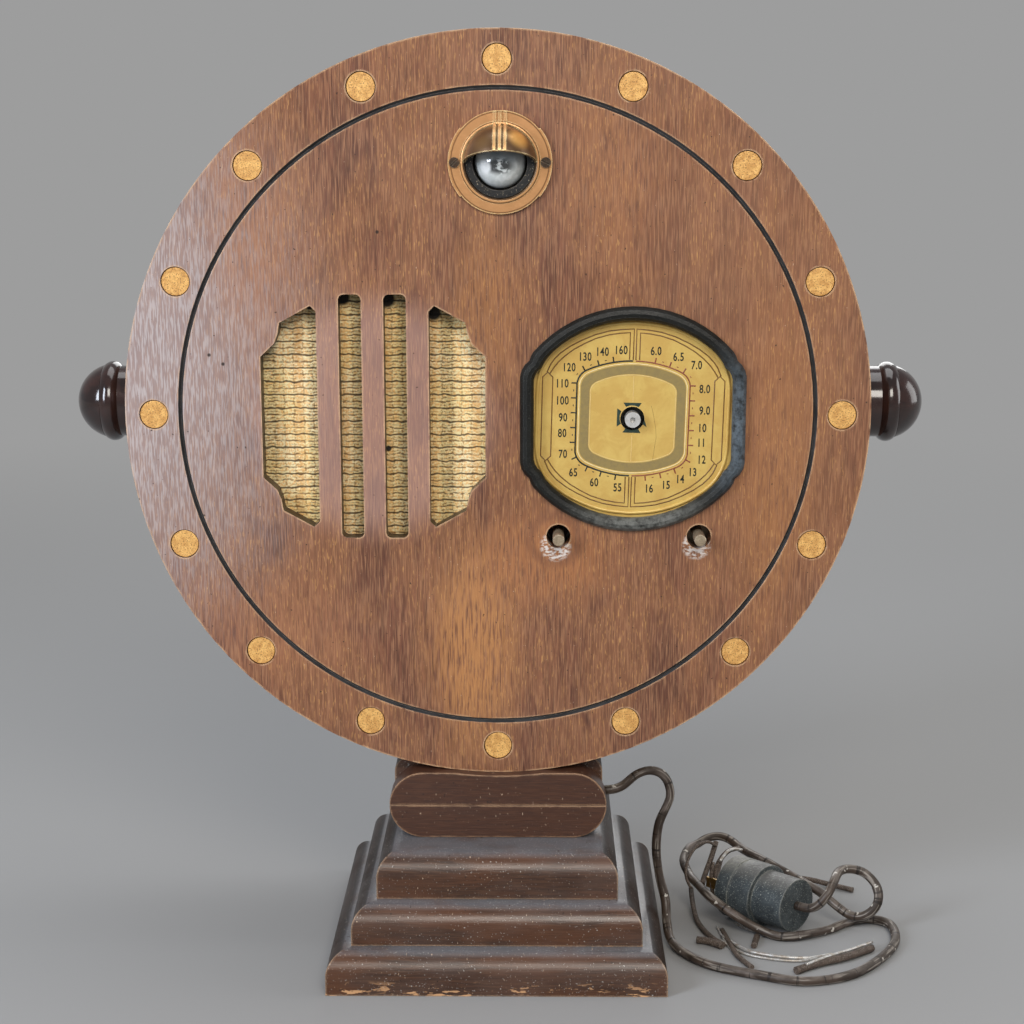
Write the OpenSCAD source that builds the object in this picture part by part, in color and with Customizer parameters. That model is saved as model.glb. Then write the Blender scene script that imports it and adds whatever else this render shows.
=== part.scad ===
// Round-fronted wooden table radio receiver on a stepped pedestal.
// Millimetres. +Z is up, +X is the viewer's right, the front faces -Y.
// The origin is the centre of the pedestal's underside.

/* [Pedestal] */
// Width of the bottom tier, left to right
base_width = 185; // [160:1:220]
// Depth of the bottom tier, front to back
base_depth = 197; // [170:1:230]
// Height of the bottom tier
tier1_height = 23.6; // [19:0.1:30]
// Height of the middle tier
tier2_height = 22.1; // [19:0.1:30]
// Height of the top tier
tier3_height = 25.2; // [19:0.1:30]
// Step in from one tier to the next, also the radius of the rounded edge
tier_step = 13.2; // [9:0.1:16]
// Width of the front boss, the long block with round ends
boss_width = 121; // [110:1:130]
// Height of the front boss
boss_height = 37.6; // [32:0.1:44]
// How far the front boss stands in front of the disc's face
boss_proud = 7; // [3:0.5:12]
// Depth of the hollow that the disc and the drum rest in
saddle_dip = 1.5; // [0.8:0.1:3]
// Width of the neck block
neck_width = 117; // [108:1:124]
// Depth of the neck block, front to back
neck_depth = 65; // [50:1:75]
// Distance from the pedestal's middle forward to the disc's face
face_forward = 35; // [25:1:45]

/* [Cabinet] */
// Diameter of the front disc
disc_diameter = 400; // [380:1:420]
// Thickness of the front disc
disc_thickness = 12; // [10:0.5:16]
// Diameter of the black ring groove
groove_diameter = 340.4; // [330:0.2:350]
// Width of the ring groove at the surface
groove_width = 2.6; // [1.5:0.1:4]
// Diameter of the circle that the round plugs stand on
plug_circle = 369.2; // [360:0.2:376]
// Diameter of one plug
plug_diameter = 15.6; // [12:0.1:18]
// Number of plugs
plug_count = 16; // [8:1:24]
// How far the plugs lie below the wood
plug_sunk = 0.7; // [0.2:0.1:1.5]
// Distance that the disc stands out beyond the drum
disc_overhang = 4; // [2:0.5:8]
// Thickness of the bent-wood drum wall
drum_wall = 8; // [6:0.5:10]
// Depth of the drum behind the disc
drum_depth = 114; // [110:1:130]
// Depth of the side knobs' axis behind the disc's face
side_knob_back = 60; // [45:1:75]
// Length of a side knob outside the drum
side_knob_length = 41.5; // [34:0.5:48]
// Diameter of a side knob at its bead
side_knob_bead = 44.6; // [38:0.2:50]

/* [Speaker] */
// Speaker's distance left of the disc's centre
speaker_left = 66.5; // [60:0.5:72]
// Speaker's distance below the disc's centre
speaker_down = 1.6; // [0:0.1:6]
// Width of one inner slot, and of the bars between slots
slot_width = 12; // [9:0.1:14]
// Height of the two inner slots
slot_height = 131; // [110:1:136]
// Thickness of the grille cloth
cloth_thickness = 0.6; // [0.4:0.1:1.5]
// Distance that the baffle board stands out beyond the speaker's rim, all round
baffle_margin = 2; // [1:0.5:4]
// Thickness of the baffle board
baffle_thickness = 8; // [6:0.5:10]
// Diameter of the speaker's rim
speaker_rim = 156; // [152:1:158]
// Depth of the speaker's basket
basket_depth = 38; // [34:1:42]
// Length of the field coil's yoke
yoke_length = 38; // [30:1:44]

/* [Dial] */
// Dial's distance right of the disc's centre
dial_right = 72.5; // [68:0.5:76]
// Dial's distance below the disc's centre
dial_down = 2.5; // [0:0.1:6]
// Width and height of the bezel, outside
bezel_size = 120.8; // [112:0.2:126]
// Width of the bezel's half-round moulding
bezel_band = 7.4; // [5:0.1:9]
// Depth of the dial's face behind the disc's face
dial_sunk = 4; // [2:0.2:6]
// Diameter of the spindle's front end, which carries the pointer
spindle_diameter = 8.4; // [6.6:0.1:10]
// Diameter of the rest of the spindle
rear_spindle_diameter = 6.1; // [5:0.1:6.4]

/* [Controls] */
// Distance between the two control shafts
control_gap = 76.2; // [70:0.1:80]
// Controls' middle, right of the disc's centre
control_right = 71.1; // [66:0.1:76]
// Controls' distance below the disc's centre
control_down = 66.2; // [64:0.1:70]
// Diameter of a control shaft
shaft_diameter = 6.35; // [5:0.05:8]
// How far the bare shafts stand out of the disc
shaft_out = 12; // [8:0.5:20]
// Diameter of the holes that the shafts come through
shaft_hole = 13; // [11:0.2:16]
// Turns of the tuning shaft for one turn of the spindle
drive_ratio = 4.4; // [4.2:0.05:4.6]

/* [Tuning eye] */
// Eye's distance right of the disc's centre
eye_right = 1.6; // [-4:0.1:6]
// Eye's distance above the disc's centre
eye_up = 132.2; // [126:0.1:138]
// Diameter of the brass escutcheon
eye_flange = 54.6; // [50:0.2:60]
// Diameter of the eye tube's glass
eye_glass = 28; // [24:0.2:30]
// Distance between the escutcheon's two screws
eye_screw_gap = 47.8; // [45:0.1:50]

/* [Chassis] */
// Gap between the chassis's lower edges and the drum
chassis_side_gap = 3.8; // [1:0.1:10]
// Depth of the steel chassis
chassis_depth = 92; // [88:1:96]
// Height of the steel chassis
chassis_height = 45; // [35:1:46]
// Distance of the chassis deck below the disc's centre
deck_down = 85; // [84:0.5:88]
// Thickness of sheet steel
sheet = 1.2; // [0.8:0.1:1.6]
// Diameter of the mains cord
cord_diameter = 5.4; // [4.5:0.1:7]

/* [Hidden] */
$fn = 72;
eps = 0.01;
fit = 0.05;              // radial clearance of a shaft in its bearing
loose = 0.3;             // clearance between pieces that don't hold each other
room = 6;                // air between neighbours inside the drum

z1 = tier1_height;
z2 = z1 + tier2_height;
z3 = z2 + tier3_height;
disc_r = disc_diameter / 2;
disc_z = z3 + boss_height - saddle_dip + disc_r;
drum_r = disc_r - disc_overhang;
drum_in = drum_r - drum_wall;
drum_back = disc_thickness + drum_depth;
boss_r = boss_height / 2;
boss_back = disc_thickness;
neck_top = disc_z - drum_r + saddle_dip;
neck_height = neck_top - z3;
neck_low_r = 18;
neck_high_r = 9;
cord_bore_r = cord_diameter / 2 + 2.1;
cord_exit_z = z3 + 15;
cord_exit_y = 33;
cord_turn = 15;
cord_up_x = 16;

baffle_front = disc_thickness + cloth_thickness;
baffle_back = baffle_front + baffle_thickness;
rim_r = speaker_rim / 2;
baffle_size = speaker_rim + 2 * baffle_margin;
cone_r = rim_r - 8;
neck_of_basket = 30;
basket_back = baffle_back + basket_depth;
yoke_back = basket_back + yoke_length;
yoke_width = 50;
yoke_height = 66;
yoke_plate = 5;
bolt_circle = rim_r - 3.6;

bezel_half = bezel_size / 2;
bezel_arc = 71;
bezel_arc_off = bezel_arc - bezel_half;
pan_half = bezel_half - bezel_band + 1.2;
opening_half = pan_half + 1;
pan_wall = 1;
pan_flange = 4.5;
shaft_reach = sqrt(pow(control_right + control_gap / 2 - dial_right, 2)
                 + pow(control_down - dial_down, 2));
disc_run = shaft_reach * drive_ratio / (drive_ratio + 1);
pinch_run = shaft_reach - disc_run;
drive_y = 25;
drive_disc_t = 0.8;
bracket_y = 30;
deck_z = -deck_down;
chassis_half = sqrt(pow(drum_in, 2) - pow(deck_down + chassis_height, 2)) - chassis_side_gap;
chassis_width = 2 * chassis_half;
chassis_front = 26;
chassis_back = chassis_front + chassis_depth;
shelf_t = 12;
shelf_z = deck_z - chassis_height - shelf_t;
gang_front = 38;
gang_back = 98;
gang_half = 25;
gang_low = 32;
gang_high = 27;
plate_r = 21;
plate_t = 1;
plate_pitch = 4;
spindle_r = spindle_diameter / 2;
rear_spindle_r = rear_spindle_diameter / 2;
shaft_r = shaft_diameter / 2;
eye_r = eye_glass / 2;
eye_hole_r = 20.5;
eye_open_r = 18.6;

wood = [0.42, 0.26, 0.18];
dark_wood = [0.2, 0.13, 0.11];
pale_wood = [0.72, 0.55, 0.36];
black = [0.12, 0.12, 0.12];
steel = [0.62, 0.63, 0.65];
brass = [0.66, 0.48, 0.27];
gold = [0.78, 0.62, 0.3];
bakelite = [0.16, 0.1, 0.09];
glass = [0.8, 0.85, 0.85, 0.45];

// Placing helpers.
// The disc's centre on its front face: x right, y back, z up.
module at_disc(x = 0, y = 0, z = 0) translate([x, y - face_forward, disc_z + z]) children();
module at_speaker(y = 0) at_disc(-speaker_left, y, -speaker_down) children();
module at_dial(y = 0) at_disc(dial_right, y, -dial_down) children();
module at_eye(y = 0) at_disc(eye_right, y, eye_up) children();
module at_control(side, y = 0)
    at_disc(control_right + side * control_gap / 2, y, -control_down) children();

// A straight rod along +Y, from y = 0 to y = length.
module rod(r, length) rotate([-90, 0, 0]) cylinder(r = r, h = length);
module ring(r_out, r_in, length) difference() {
    rod(r_out, length);
    translate([0, -1, 0]) rod(r_in, length + 2);
}
// A block centred in x and z that runs back from y = 0.
module slab(width, length, height)
    translate([-width / 2, 0, -height / 2]) cube([width, length, height]);
// Revolves a profile drawn as (radius, distance back) round the Y axis.
module turned() rotate([-90, 0, 0]) rotate_extrude() children();

// Pedestal.
module rounded_run(width, height, length, r) {
    translate([-width / 2, -length / 2, 0]) cube([width, length, height - r]);
    translate([-width / 2 + r, -length / 2, 0]) cube([width - 2 * r, length, height]);
    for (side = [-1, 1])
        translate([side * (width / 2 - r), length / 2, height - r])
            rotate([90, 0, 0]) cylinder(r = r, h = length);
}
module tier(width, depth, height) intersection() {
    rounded_run(width, height, depth, tier_step);
    rotate([0, 0, 90]) rounded_run(depth, height, width, tier_step);
    translate([-width, -depth, 0]) cube([2 * width, 2 * depth, height]);
}
base_screw_at = [[-30, -14], [30, -14], [-30, 26], [30, 26]];
base_screw_r = 2.6;
base_head_r = 5.5;
base_head_sunk = 6;
base_screw_top = z3 + 22;
module base_screw_holes() for (p = base_screw_at) {
    translate([p[0], p[1], -1]) cylinder(r = base_screw_r + fit, h = base_screw_top + 1 + loose);
    translate([p[0], p[1], -1]) cylinder(r = base_head_r + loose, h = base_head_sunk + 1);
}
module base_tier_bottom() color(dark_wood) difference() {
    tier(base_width, base_depth, tier1_height);
    base_screw_holes();
}
module base_tier_middle() color(dark_wood) difference() {
    translate([0, 0, z1])
        tier(base_width - 2 * tier_step, base_depth - 2 * tier_step, tier2_height);
    base_screw_holes();
}
module base_tier_top() color(dark_wood) difference() {
    translate([0, 0, z2])
        tier(base_width - 4 * tier_step, base_depth - 4 * tier_step, tier3_height);
    base_screw_holes();
}
module base_screws() color(steel) for (p = base_screw_at) translate([p[0], p[1], 0]) {
    translate([0, 0, base_head_sunk - 3]) cylinder(r = base_head_r, h = 3);
    translate([0, 0, base_head_sunk - 1]) cylinder(r = base_screw_r, h = base_screw_top - base_head_sunk + 1);
}

// The boss is two boards glued one on the other, with full round ends.
module boss_shape() translate([0, -face_forward - boss_proud, z3 + boss_r]) {
    for (side = [-1, 1]) translate([side * (boss_width / 2 - boss_r), 0, 0])
        rod(boss_r, boss_back + boss_proud);
    slab(boss_width - boss_height, boss_back + boss_proud, boss_height);
}
module boss_half(low) color(dark_wood) difference() {
    intersection() {
        boss_shape();
        translate([-boss_width, -base_depth, low]) cube([2 * boss_width, 2 * base_depth, boss_r]);
    }
    at_disc(0, -boss_proud - 1) rod(disc_r, boss_back + boss_proud + 2);
}
module front_boss_lower() boss_half(z3);
module front_boss_upper() boss_half(z3 + boss_r);

module neck_shape() translate([0, boss_back - face_forward, z3]) {
    low_x = neck_width / 2 - neck_low_r;
    high_x = neck_width / 2 - neck_high_r;
    for (side = [-1, 1]) {
        translate([side * low_x, 0, neck_low_r]) rod(neck_low_r, neck_depth);
        translate([side * high_x, 0, neck_height - neck_high_r]) rod(neck_high_r, neck_depth);
    }
    translate([-low_x, 0, 0]) cube([2 * low_x, neck_depth, neck_height]);
    translate([-high_x, 0, neck_height / 2]) cube([2 * high_x, neck_depth, neck_height / 2]);
    translate([-neck_width / 2, 0, neck_low_r])
        cube([neck_width, neck_depth, neck_height - neck_low_r - neck_high_r]);
}
// The cord's way: in at the neck's right side, round a bend, up into the drum.
module cord_way() translate([0, cord_exit_y - face_forward, cord_exit_z]) {
    translate([cord_up_x + cord_turn, 0, 0]) rotate([0, 90, 0])
        cylinder(r = cord_bore_r, h = neck_width);
    translate([cord_up_x + cord_turn, 0, cord_turn]) rotate([90, 0, 0])
        rotate_extrude(angle = 90, start = 180) translate([cord_turn, 0]) circle(r = cord_bore_r);
    translate([cord_up_x, 0, cord_turn]) cylinder(r = cord_bore_r, h = 60);
}
neck_screw_at = [[-9, 26], [-9, 62]];
neck_screw_r = 2.5;
neck_screw_low = z3 + 12;
module neck_block() color(dark_wood) difference() {
    neck_shape();
    at_disc(0, -1) rod(drum_r, drum_back + 2);
    base_screw_holes();
    cord_way();
    for (p = neck_screw_at) translate([p[0], p[1] - face_forward, neck_screw_low - loose])
        cylinder(r = neck_screw_r + fit, h = neck_height);
}
neck_head_z = disc_z - drum_in + 0.6;
module neck_screws() color(steel) for (p = neck_screw_at)
    translate([p[0], p[1] - face_forward, 0]) {
        translate([0, 0, neck_screw_low]) cylinder(r = neck_screw_r, h = neck_head_z + 1 - neck_screw_low);
        translate([0, 0, neck_head_z]) cylinder(r = 5, h = 3);
    }

// Front disc.
// The outer slot's corners, measured from the speaker's centre, right side.
slot_corner_r = 3;
slot_in = 2.5 * slot_width;
slot_out = 5 * slot_width;
outer_slot = [[slot_in, -56.5], [slot_in + 3, -59.5], [slot_in + 19.5, -50.5],
    [slot_in + 20.6, -44.5], [slot_in + 22.5, -39.5], [slot_out, -32.5], [slot_out, 32.5],
    [slot_in + 22.5, 39.5], [slot_in + 20.6, 44.5], [slot_in + 19.5, 50.5],
    [slot_in + 3, 59.5], [slot_in, 56.5]];
module through(points) translate([0, disc_thickness + 1, 0]) rotate([90, 0, 0])
    linear_extrude(disc_thickness + 2) polygon(points);
module speaker_slots() at_speaker() {
    through(outer_slot);
    mirror([1, 0, 0]) through(outer_slot);
    for (side = [-1, 1]) translate([side * slot_width, -1, 0]) {
        slab(slot_width, disc_thickness + 2, slot_height - 2 * slot_corner_r);
        slab(slot_width - 2 * slot_corner_r, disc_thickness + 2, slot_height);
        for (x = [-1, 1], end = [-1, 1])
            translate([x * (slot_width / 2 - slot_corner_r), 0, end * (slot_height / 2 - slot_corner_r)])
                rod(slot_corner_r, disc_thickness + 2);
    }
}
// A cushion outline: two flat arcs above and below, straight sides.
module cushion(half, length) intersection() {
    slab(2 * half, length, 2 * half);
    translate([0, 0, half - bezel_arc]) rod(bezel_arc, length);
    translate([0, 0, bezel_arc - half]) rod(bezel_arc, length);
}
module plug_places() for (i = [0 : plug_count - 1])
    rotate([0, i * 360 / plug_count, 0]) translate([0, 0, plug_circle / 2]) children();
plug_hole_depth = 6;
eye_screw_r = 1.5;
module eye_screw_places() for ($screw_side = [-1, 1])
    translate([$screw_side * eye_screw_gap / 2, 0, 0]) children();
baffle_screw_at = baffle_size / 2 - 9;
module baffle_screw_places() for (sx = [-1, 1], sz = [-1, 1])
    translate([sx * baffle_screw_at, 0, sz * baffle_screw_at]) children();
baffle_screw_r = 1.75;
baffle_screw_tip = 4;
module front_panel() color(wood) difference() {
    at_disc() rod(disc_r, disc_thickness);
    at_disc() turned() polygon([[groove_diameter / 2 - groove_width / 2, -1],
        [groove_diameter / 2 - groove_width / 2, 0], [groove_diameter / 2, groove_width * 0.7],
        [groove_diameter / 2 + groove_width / 2, 0], [groove_diameter / 2 + groove_width / 2, -1]]);
    at_disc() plug_places() translate([0, -1, 0]) rod(plug_diameter / 2 + fit, plug_hole_depth + 1);
    speaker_slots();
    at_dial(-1) cushion(opening_half, disc_thickness + 2);
    at_eye(-1) rod(eye_hole_r, disc_thickness + 2);
    at_eye(-1) eye_screw_places() rod(eye_screw_r + fit, 9.5);
    for (side = [-1, 1]) at_control(side, -1) rod(shaft_hole / 2, disc_thickness + 2);
    at_speaker(baffle_screw_tip - loose) baffle_screw_places() rod(baffle_screw_r + fit, disc_thickness);
}
module rim_plugs() color(gold) at_disc() plug_places()
    translate([0, plug_sunk, 0]) rod(plug_diameter / 2, plug_hole_depth - plug_sunk);

// Drum.
side_screw_r = 2.2;
module drum_shell() color(wood) difference() {
    at_disc(0, disc_thickness) ring(drum_r, drum_in, drum_depth);
    at_disc(-disc_r, side_knob_back, 0) rotate([0, 90, 0])
        cylinder(r = side_screw_r + fit, h = 2 * disc_r);
    cord_way();
    for (p = neck_screw_at) translate([p[0], p[1] - face_forward, 0])
        cylinder(r = neck_screw_r + fit, h = disc_z);
}
// Blocks glued into the corner between the disc and the drum wall.
block_count = 8;
block_width = 44;
block_depth = 16;
block_high = 22;
module glue_blocks() color(pale_wood) difference() {
    intersection() {
        at_disc() for (i = [0 : block_count - 1]) rotate([0, (i + 0.5) * 360 / block_count, 0])
            translate([0, disc_thickness, drum_in - block_high / 2 + 1])
                slab(block_width, block_depth, block_high + 2);
        at_disc() rod(drum_in, drum_back);
    }
    at_speaker(disc_thickness - 1) slab(baffle_size + 2 * loose, block_depth + 2, baffle_size + 2 * loose);
}
// A turned knob along +X, from the drum's wall outward.
module turned_knob(side) color(bakelite) difference() {
    at_disc(0, side_knob_back, 0) rotate([0, side * 90, 0]) {
        collar_r = side_knob_bead / 2 - 2.6;
        base = drum_r - 3;
        bead_at = drum_r + 21.5;
        cap_at = bead_at + 4.8;
        tip = drum_r + side_knob_length;
        cap_r = side_knob_bead / 2 - 2.2;
        cap_curve = (cap_r * cap_r + pow(tip - cap_at, 2)) / (2 * (tip - cap_at));
        translate([0, 0, base]) cylinder(r = collar_r, h = bead_at - base);
        rotate_extrude() intersection() {
            translate([side_knob_bead / 2 - 6, bead_at]) circle(r = 6, $fn = 48);
            translate([0, bead_at - 5.2]) square([side_knob_bead, 10.4]);
        }
        translate([0, 0, bead_at - 5]) cylinder(r = side_knob_bead / 2 - 4, h = 10);
        rotate_extrude() intersection() {
            translate([0, tip - cap_curve]) circle(r = cap_curve, $fn = 96);
            translate([0, cap_at]) square([cap_r, side_knob_length]);
        }
    }
    at_disc(0, -1) rod(drum_r, drum_back + 2);
    at_disc(side * (drum_r - 2), side_knob_back, 0) rotate([0, side * 90, 0])
        cylinder(r = side_screw_r + fit, h = 24 + loose);
}
module side_knob_left() turned_knob(-1);
module side_knob_right() turned_knob(1);
module side_knob_screws() color(steel) for (side = [-1, 1])
    at_disc(0, side_knob_back, 0) rotate([0, side * 90, 0]) {
        translate([0, 0, drum_in - 2.4]) cylinder(r = 4.5, h = 2.4 - 0.6);
        translate([0, 0, drum_in - 1]) cylinder(r = side_screw_r, h = drum_wall + 1 + 20);
    }

// Speaker.
module grille_cloth() color(gold) at_speaker(disc_thickness) difference() {
    slab(baffle_size - cloth_margin, cloth_thickness, baffle_size - cloth_margin);
    translate([0, -1, 0]) baffle_screw_places() rod(baffle_screw_r + loose, cloth_thickness + 2);
    pan_clearance();
}
cloth_margin = 6;
// Room for the dial pan's flange, measured from the speaker.
module pan_clearance() translate([speaker_left + dial_right, -2, speaker_down - dial_down])
    cushion(pan_half + pan_flange + loose, 2 + pan_wall + loose);
module speaker_bolt_places() for (a = [45 : 90 : 315])
    rotate([0, a, 0]) translate([0, 0, bolt_circle]) children();
module baffle_board() color(pale_wood) at_speaker(baffle_front) difference() {
    slab(baffle_size, baffle_thickness, baffle_size);
    translate([0, -1, 0]) rod(cone_r, baffle_thickness + 2);
    translate([0, -1, 0]) baffle_screw_places() rod(baffle_screw_r + fit, baffle_thickness + 2);
    translate([0, 1, 0]) speaker_bolt_places() rod(speaker_bolt_r + fit, baffle_thickness);
    pan_clearance();
}
speaker_bolt_r = 1.6;
module baffle_screws() color(steel) at_speaker() baffle_screw_places() {
    translate([0, baffle_screw_tip, 0]) rod(baffle_screw_r, baffle_back - baffle_screw_tip + 1);
    translate([0, baffle_back, 0]) rod(3.5, 2);
}
module basket_wall(wall) polygon([[cone_r - wall, 0], [cone_r, 0],
    [neck_of_basket + 4, basket_depth - 3], [neck_of_basket, basket_depth - 3],
    [neck_of_basket + 4 - wall, basket_depth - 3]]);
module speaker_basket() color(steel) at_speaker(baffle_back) difference() {
    union() {
        turned() polygon([[cone_r - 1.5, 0], [rim_r, 0], [rim_r, 1.5], [cone_r, 1.5],
            [neck_of_basket + 4, basket_depth - 2], [neck_of_basket + 4, basket_depth],
            [13, basket_depth], [13, basket_depth - 1.5], [neck_of_basket + 2.6, basket_depth - 1.5],
            [neck_of_basket + 2.6, basket_depth - 2.2], [cone_r - 1.5, 1]]);
    }
    for (a = [0 : 90 : 270]) rotate([-90, 0, 0]) rotate_extrude(angle = 62, start = a + 14)
        polygon([[neck_of_basket + 8, 5], [cone_r + 2, 5],
            [cone_r + 2, basket_depth - 8], [neck_of_basket + 8, basket_depth - 8]]);
    translate([0, -1, 0]) speaker_bolt_places() rod(speaker_bolt_r + fit, 4);
}
module speaker_cone() color([0.24, 0.21, 0.18]) at_speaker(baffle_back) turned()
    polygon([[cone_r - 1.8, 0.2], [cone_r - 1.8, 1], [cone_r - 5, 1.6], [cone_r - 8, 2],
        [14, basket_depth - 7], [0, basket_depth - 11], [0, basket_depth - 12],
        [13.5, basket_depth - 8], [cone_r - 8.4, 0.9], [cone_r - 5, 0.6]]);
module speaker_yoke() color([0.2, 0.2, 0.2]) at_speaker(basket_back) {
    slab(yoke_width, yoke_plate, yoke_height);
    translate([0, yoke_length - yoke_plate, 0]) slab(yoke_width, yoke_plate, yoke_height);
    for (side = [-1, 1]) translate([0, 0, side * (yoke_height - yoke_plate) / 2])
        slab(yoke_width, yoke_length, yoke_plate);
}
module field_coil() color([0.35, 0.1, 0.08]) at_speaker(basket_back + yoke_plate)
    rod(yoke_width / 2 - 1, yoke_length - 2 * yoke_plate);
module speaker_bolts() color(steel) at_speaker() speaker_bolt_places() {
    translate([0, baffle_front + 1.5, 0]) rod(speaker_bolt_r, baffle_back - baffle_front + 1);
    translate([0, baffle_back + 1.5, 0]) rod(2 * speaker_bolt_r, 2.4);
}
module output_transformer() color([0.3, 0.3, 0.32])
    at_speaker(basket_back + yoke_plate) translate([0, 0, yoke_height / 2])
        laminated_core([38, 14, 32], [22, 24, 20]);
// A laminated core that stands on z = 0, with its winding through it.
module laminated_core(core, winding) {
    middle = winding[1] / 2 + 2;
    translate([-core[0] / 2, middle - core[1] / 2, 0]) cube(core);
    translate([-winding[0] / 2, middle - winding[1] / 2, (core[2] - winding[2]) / 2]) cube(winding);
}

// Dial.
// The moulding runs between an outer and an inner outline, with a shoulder at each corner.
bezel_high = 4.6;
bezel_in = bezel_half - bezel_band;
shoulder_outer = [[0, 0], [0, 12], [0, 23], [0.8, 26.5], [2.6, 29.4], [5, 31.6], [5.8, 34], [7.2, 36.4]];
shoulder_inner = [[0, 0], [0, 12], [0, 21.5], [0.7, 24], [2.1, 26.2], [4.1, 28], [5.1, 30], [6.5, 32.3]];
function quarter(half, shoulder) = let (
    last = shoulder[len(shoulder) - 1],
    from = atan2(last[1] + bezel_arc_off, half - last[0]),
    r = half + bezel_arc_off) concat(
    [for (p = shoulder) [half - p[0], p[1]]],
    [for (k = [1 : 9]) let (a = from + (90 - from) * k / 9) [r * cos(a), r * sin(a) - bezel_arc_off]]);
function backwards(q) = [for (i = [len(q) - 2 : -1 : 1]) q[i]];
function loop_of(q) = let (
    half_loop = concat(q, [for (p = backwards(q)) [-p[0], p[1]]])) concat(
    half_loop, [[-q[0][0], q[0][1]]],
    [for (i = [len(half_loop) - 1 : -1 : 1]) [half_loop[i][0], -half_loop[i][1]]]);
// Across the moulding (0 inside, 1 outside) and how far it stands out.
bezel_section = [[0, 0], [0, 0.4], [0.08, 0.66], [0.24, 0.9], [0.5, 1], [0.76, 0.9], [0.92, 0.66],
    [1, 0.4], [1, 0]];
module dial_bezel() color(black) at_dial() {
    outer = loop_of(quarter(bezel_half, shoulder_outer));
    inner = loop_of(quarter(bezel_in, shoulder_inner));
    m = len(outer);
    n = len(bezel_section);
    points = [for (i = [0 : m - 1], c = bezel_section)
        let (p = inner[i] + (outer[i] - inner[i]) * c[0]) [p[0], -bezel_high * c[1], p[1]]];
    polyhedron(points, [for (i = [0 : m - 1], k = [0 : n - 1])
        [i * n + k, ((i + 1) % m) * n + k, ((i + 1) % m) * n + (k + 1) % n, i * n + (k + 1) % n]]);
}
hub_r = 6.5;
pan_face = dial_sunk + 0.8;
module dial_pan() color(steel) at_dial() difference() {
    union() {
        translate([0, pan_face, 0]) cushion(pan_half - 0.4, disc_thickness - pan_face + pan_wall);
        translate([0, disc_thickness, 0]) cushion(pan_half + pan_flange, pan_wall);
    }
    translate([0, pan_face + pan_wall, 0]) cushion(pan_half - 0.4 - pan_wall, disc_thickness);
    translate([0, pan_face - 1, 0]) rod(hub_r, 4);
}
module dial_scale() color(gold) at_dial(dial_sunk) difference() {
    cushion(pan_half - 0.4, 0.8);
    translate([0, -1, 0]) rod(hub_r, 3);
}

// Chassis.
bolt_r = 2;
bolt_head_r = 4;
bolt_head_sunk = 3;
module chassis_shelf() color(pale_wood) difference() {
    intersection() {
        at_disc(0, 14, shelf_z + shelf_t / 2) slab(2 * disc_r, drum_back - 18, shelf_t);
        at_disc() rod(drum_in, drum_back);
    }
    chassis_bolt_places() translate([0, 0, shelf_z - 1]) {
        cylinder(r = bolt_r + fit, h = shelf_t + 2);
        cylinder(r = bolt_head_r + loose, h = 1 + bolt_head_sunk);
    }
    at_disc(cord_up_x, cord_exit_y, shelf_z - 1) cylinder(r = cord_bore_r, h = shelf_t + 2);
}
flange = 26;
chassis_bolt_x = chassis_width / 2 - 15;
module chassis_bolt_places() for (side = [-1, 1], y = [chassis_front + 16, chassis_back - 16])
    at_disc(side * chassis_bolt_x, y, 0) children();
module deck_hole(x, y, r) at_disc(x, y, deck_z - 2) cylinder(r = r, h = 4);
module chassis() color(steel) difference() {
    at_disc(0, chassis_front, deck_z - chassis_height / 2)
        slab(chassis_width, chassis_depth, chassis_height);
    at_disc(0, chassis_front + sheet, deck_z - sheet - chassis_height / 2 + sheet)
        slab(chassis_width - 2 * sheet, chassis_depth - 2 * sheet, chassis_height - 2 * sheet);
    at_disc(0, chassis_front + sheet, deck_z - chassis_height)
        slab(chassis_width - 2 * flange, chassis_depth - 2 * sheet, 4 * sheet);
    chassis_bolt_places() translate([0, 0, deck_z - chassis_height - 1])
        cylinder(r = bolt_r + fit, h = 4);
}
module chassis_bolts() color(steel) chassis_bolt_places() {
    translate([0, 0, shelf_z + bolt_head_sunk - 2.4]) cylinder(r = bolt_head_r, h = 2.4);
    translate([0, 0, shelf_z + 2]) cylinder(r = bolt_r, h = shelf_t + sheet + 2.4);
    translate([0, 0, shelf_z + shelf_t + sheet]) cylinder(r = 3.6, h = 2.6, $fn = 6);
}
bracket_t = 1.5;
bracket_side = 16;
bracket_half = control_gap / 2 + bracket_side;
bracket_high = deck_down - dial_down + 14.5;
foot_width = 36;
foot_depth = 7;
module front_bracket() color(steel) difference() {
    union() {
        at_disc(control_right, bracket_y, deck_z) translate([-bracket_half, 0, 0])
            cube([2 * bracket_half, bracket_t, bracket_high]);
        at_disc(dial_right, bracket_y, deck_z) translate([-foot_width / 2, 0, 0])
            cube([foot_width, foot_depth, sheet]);
    }
    at_dial(bracket_y - 1) rod(rear_spindle_r + 3, 4);
    for (side = [-1, 1]) at_control(side, bracket_y - 1) rod(bushing_r + fit, 4);
}

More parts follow.
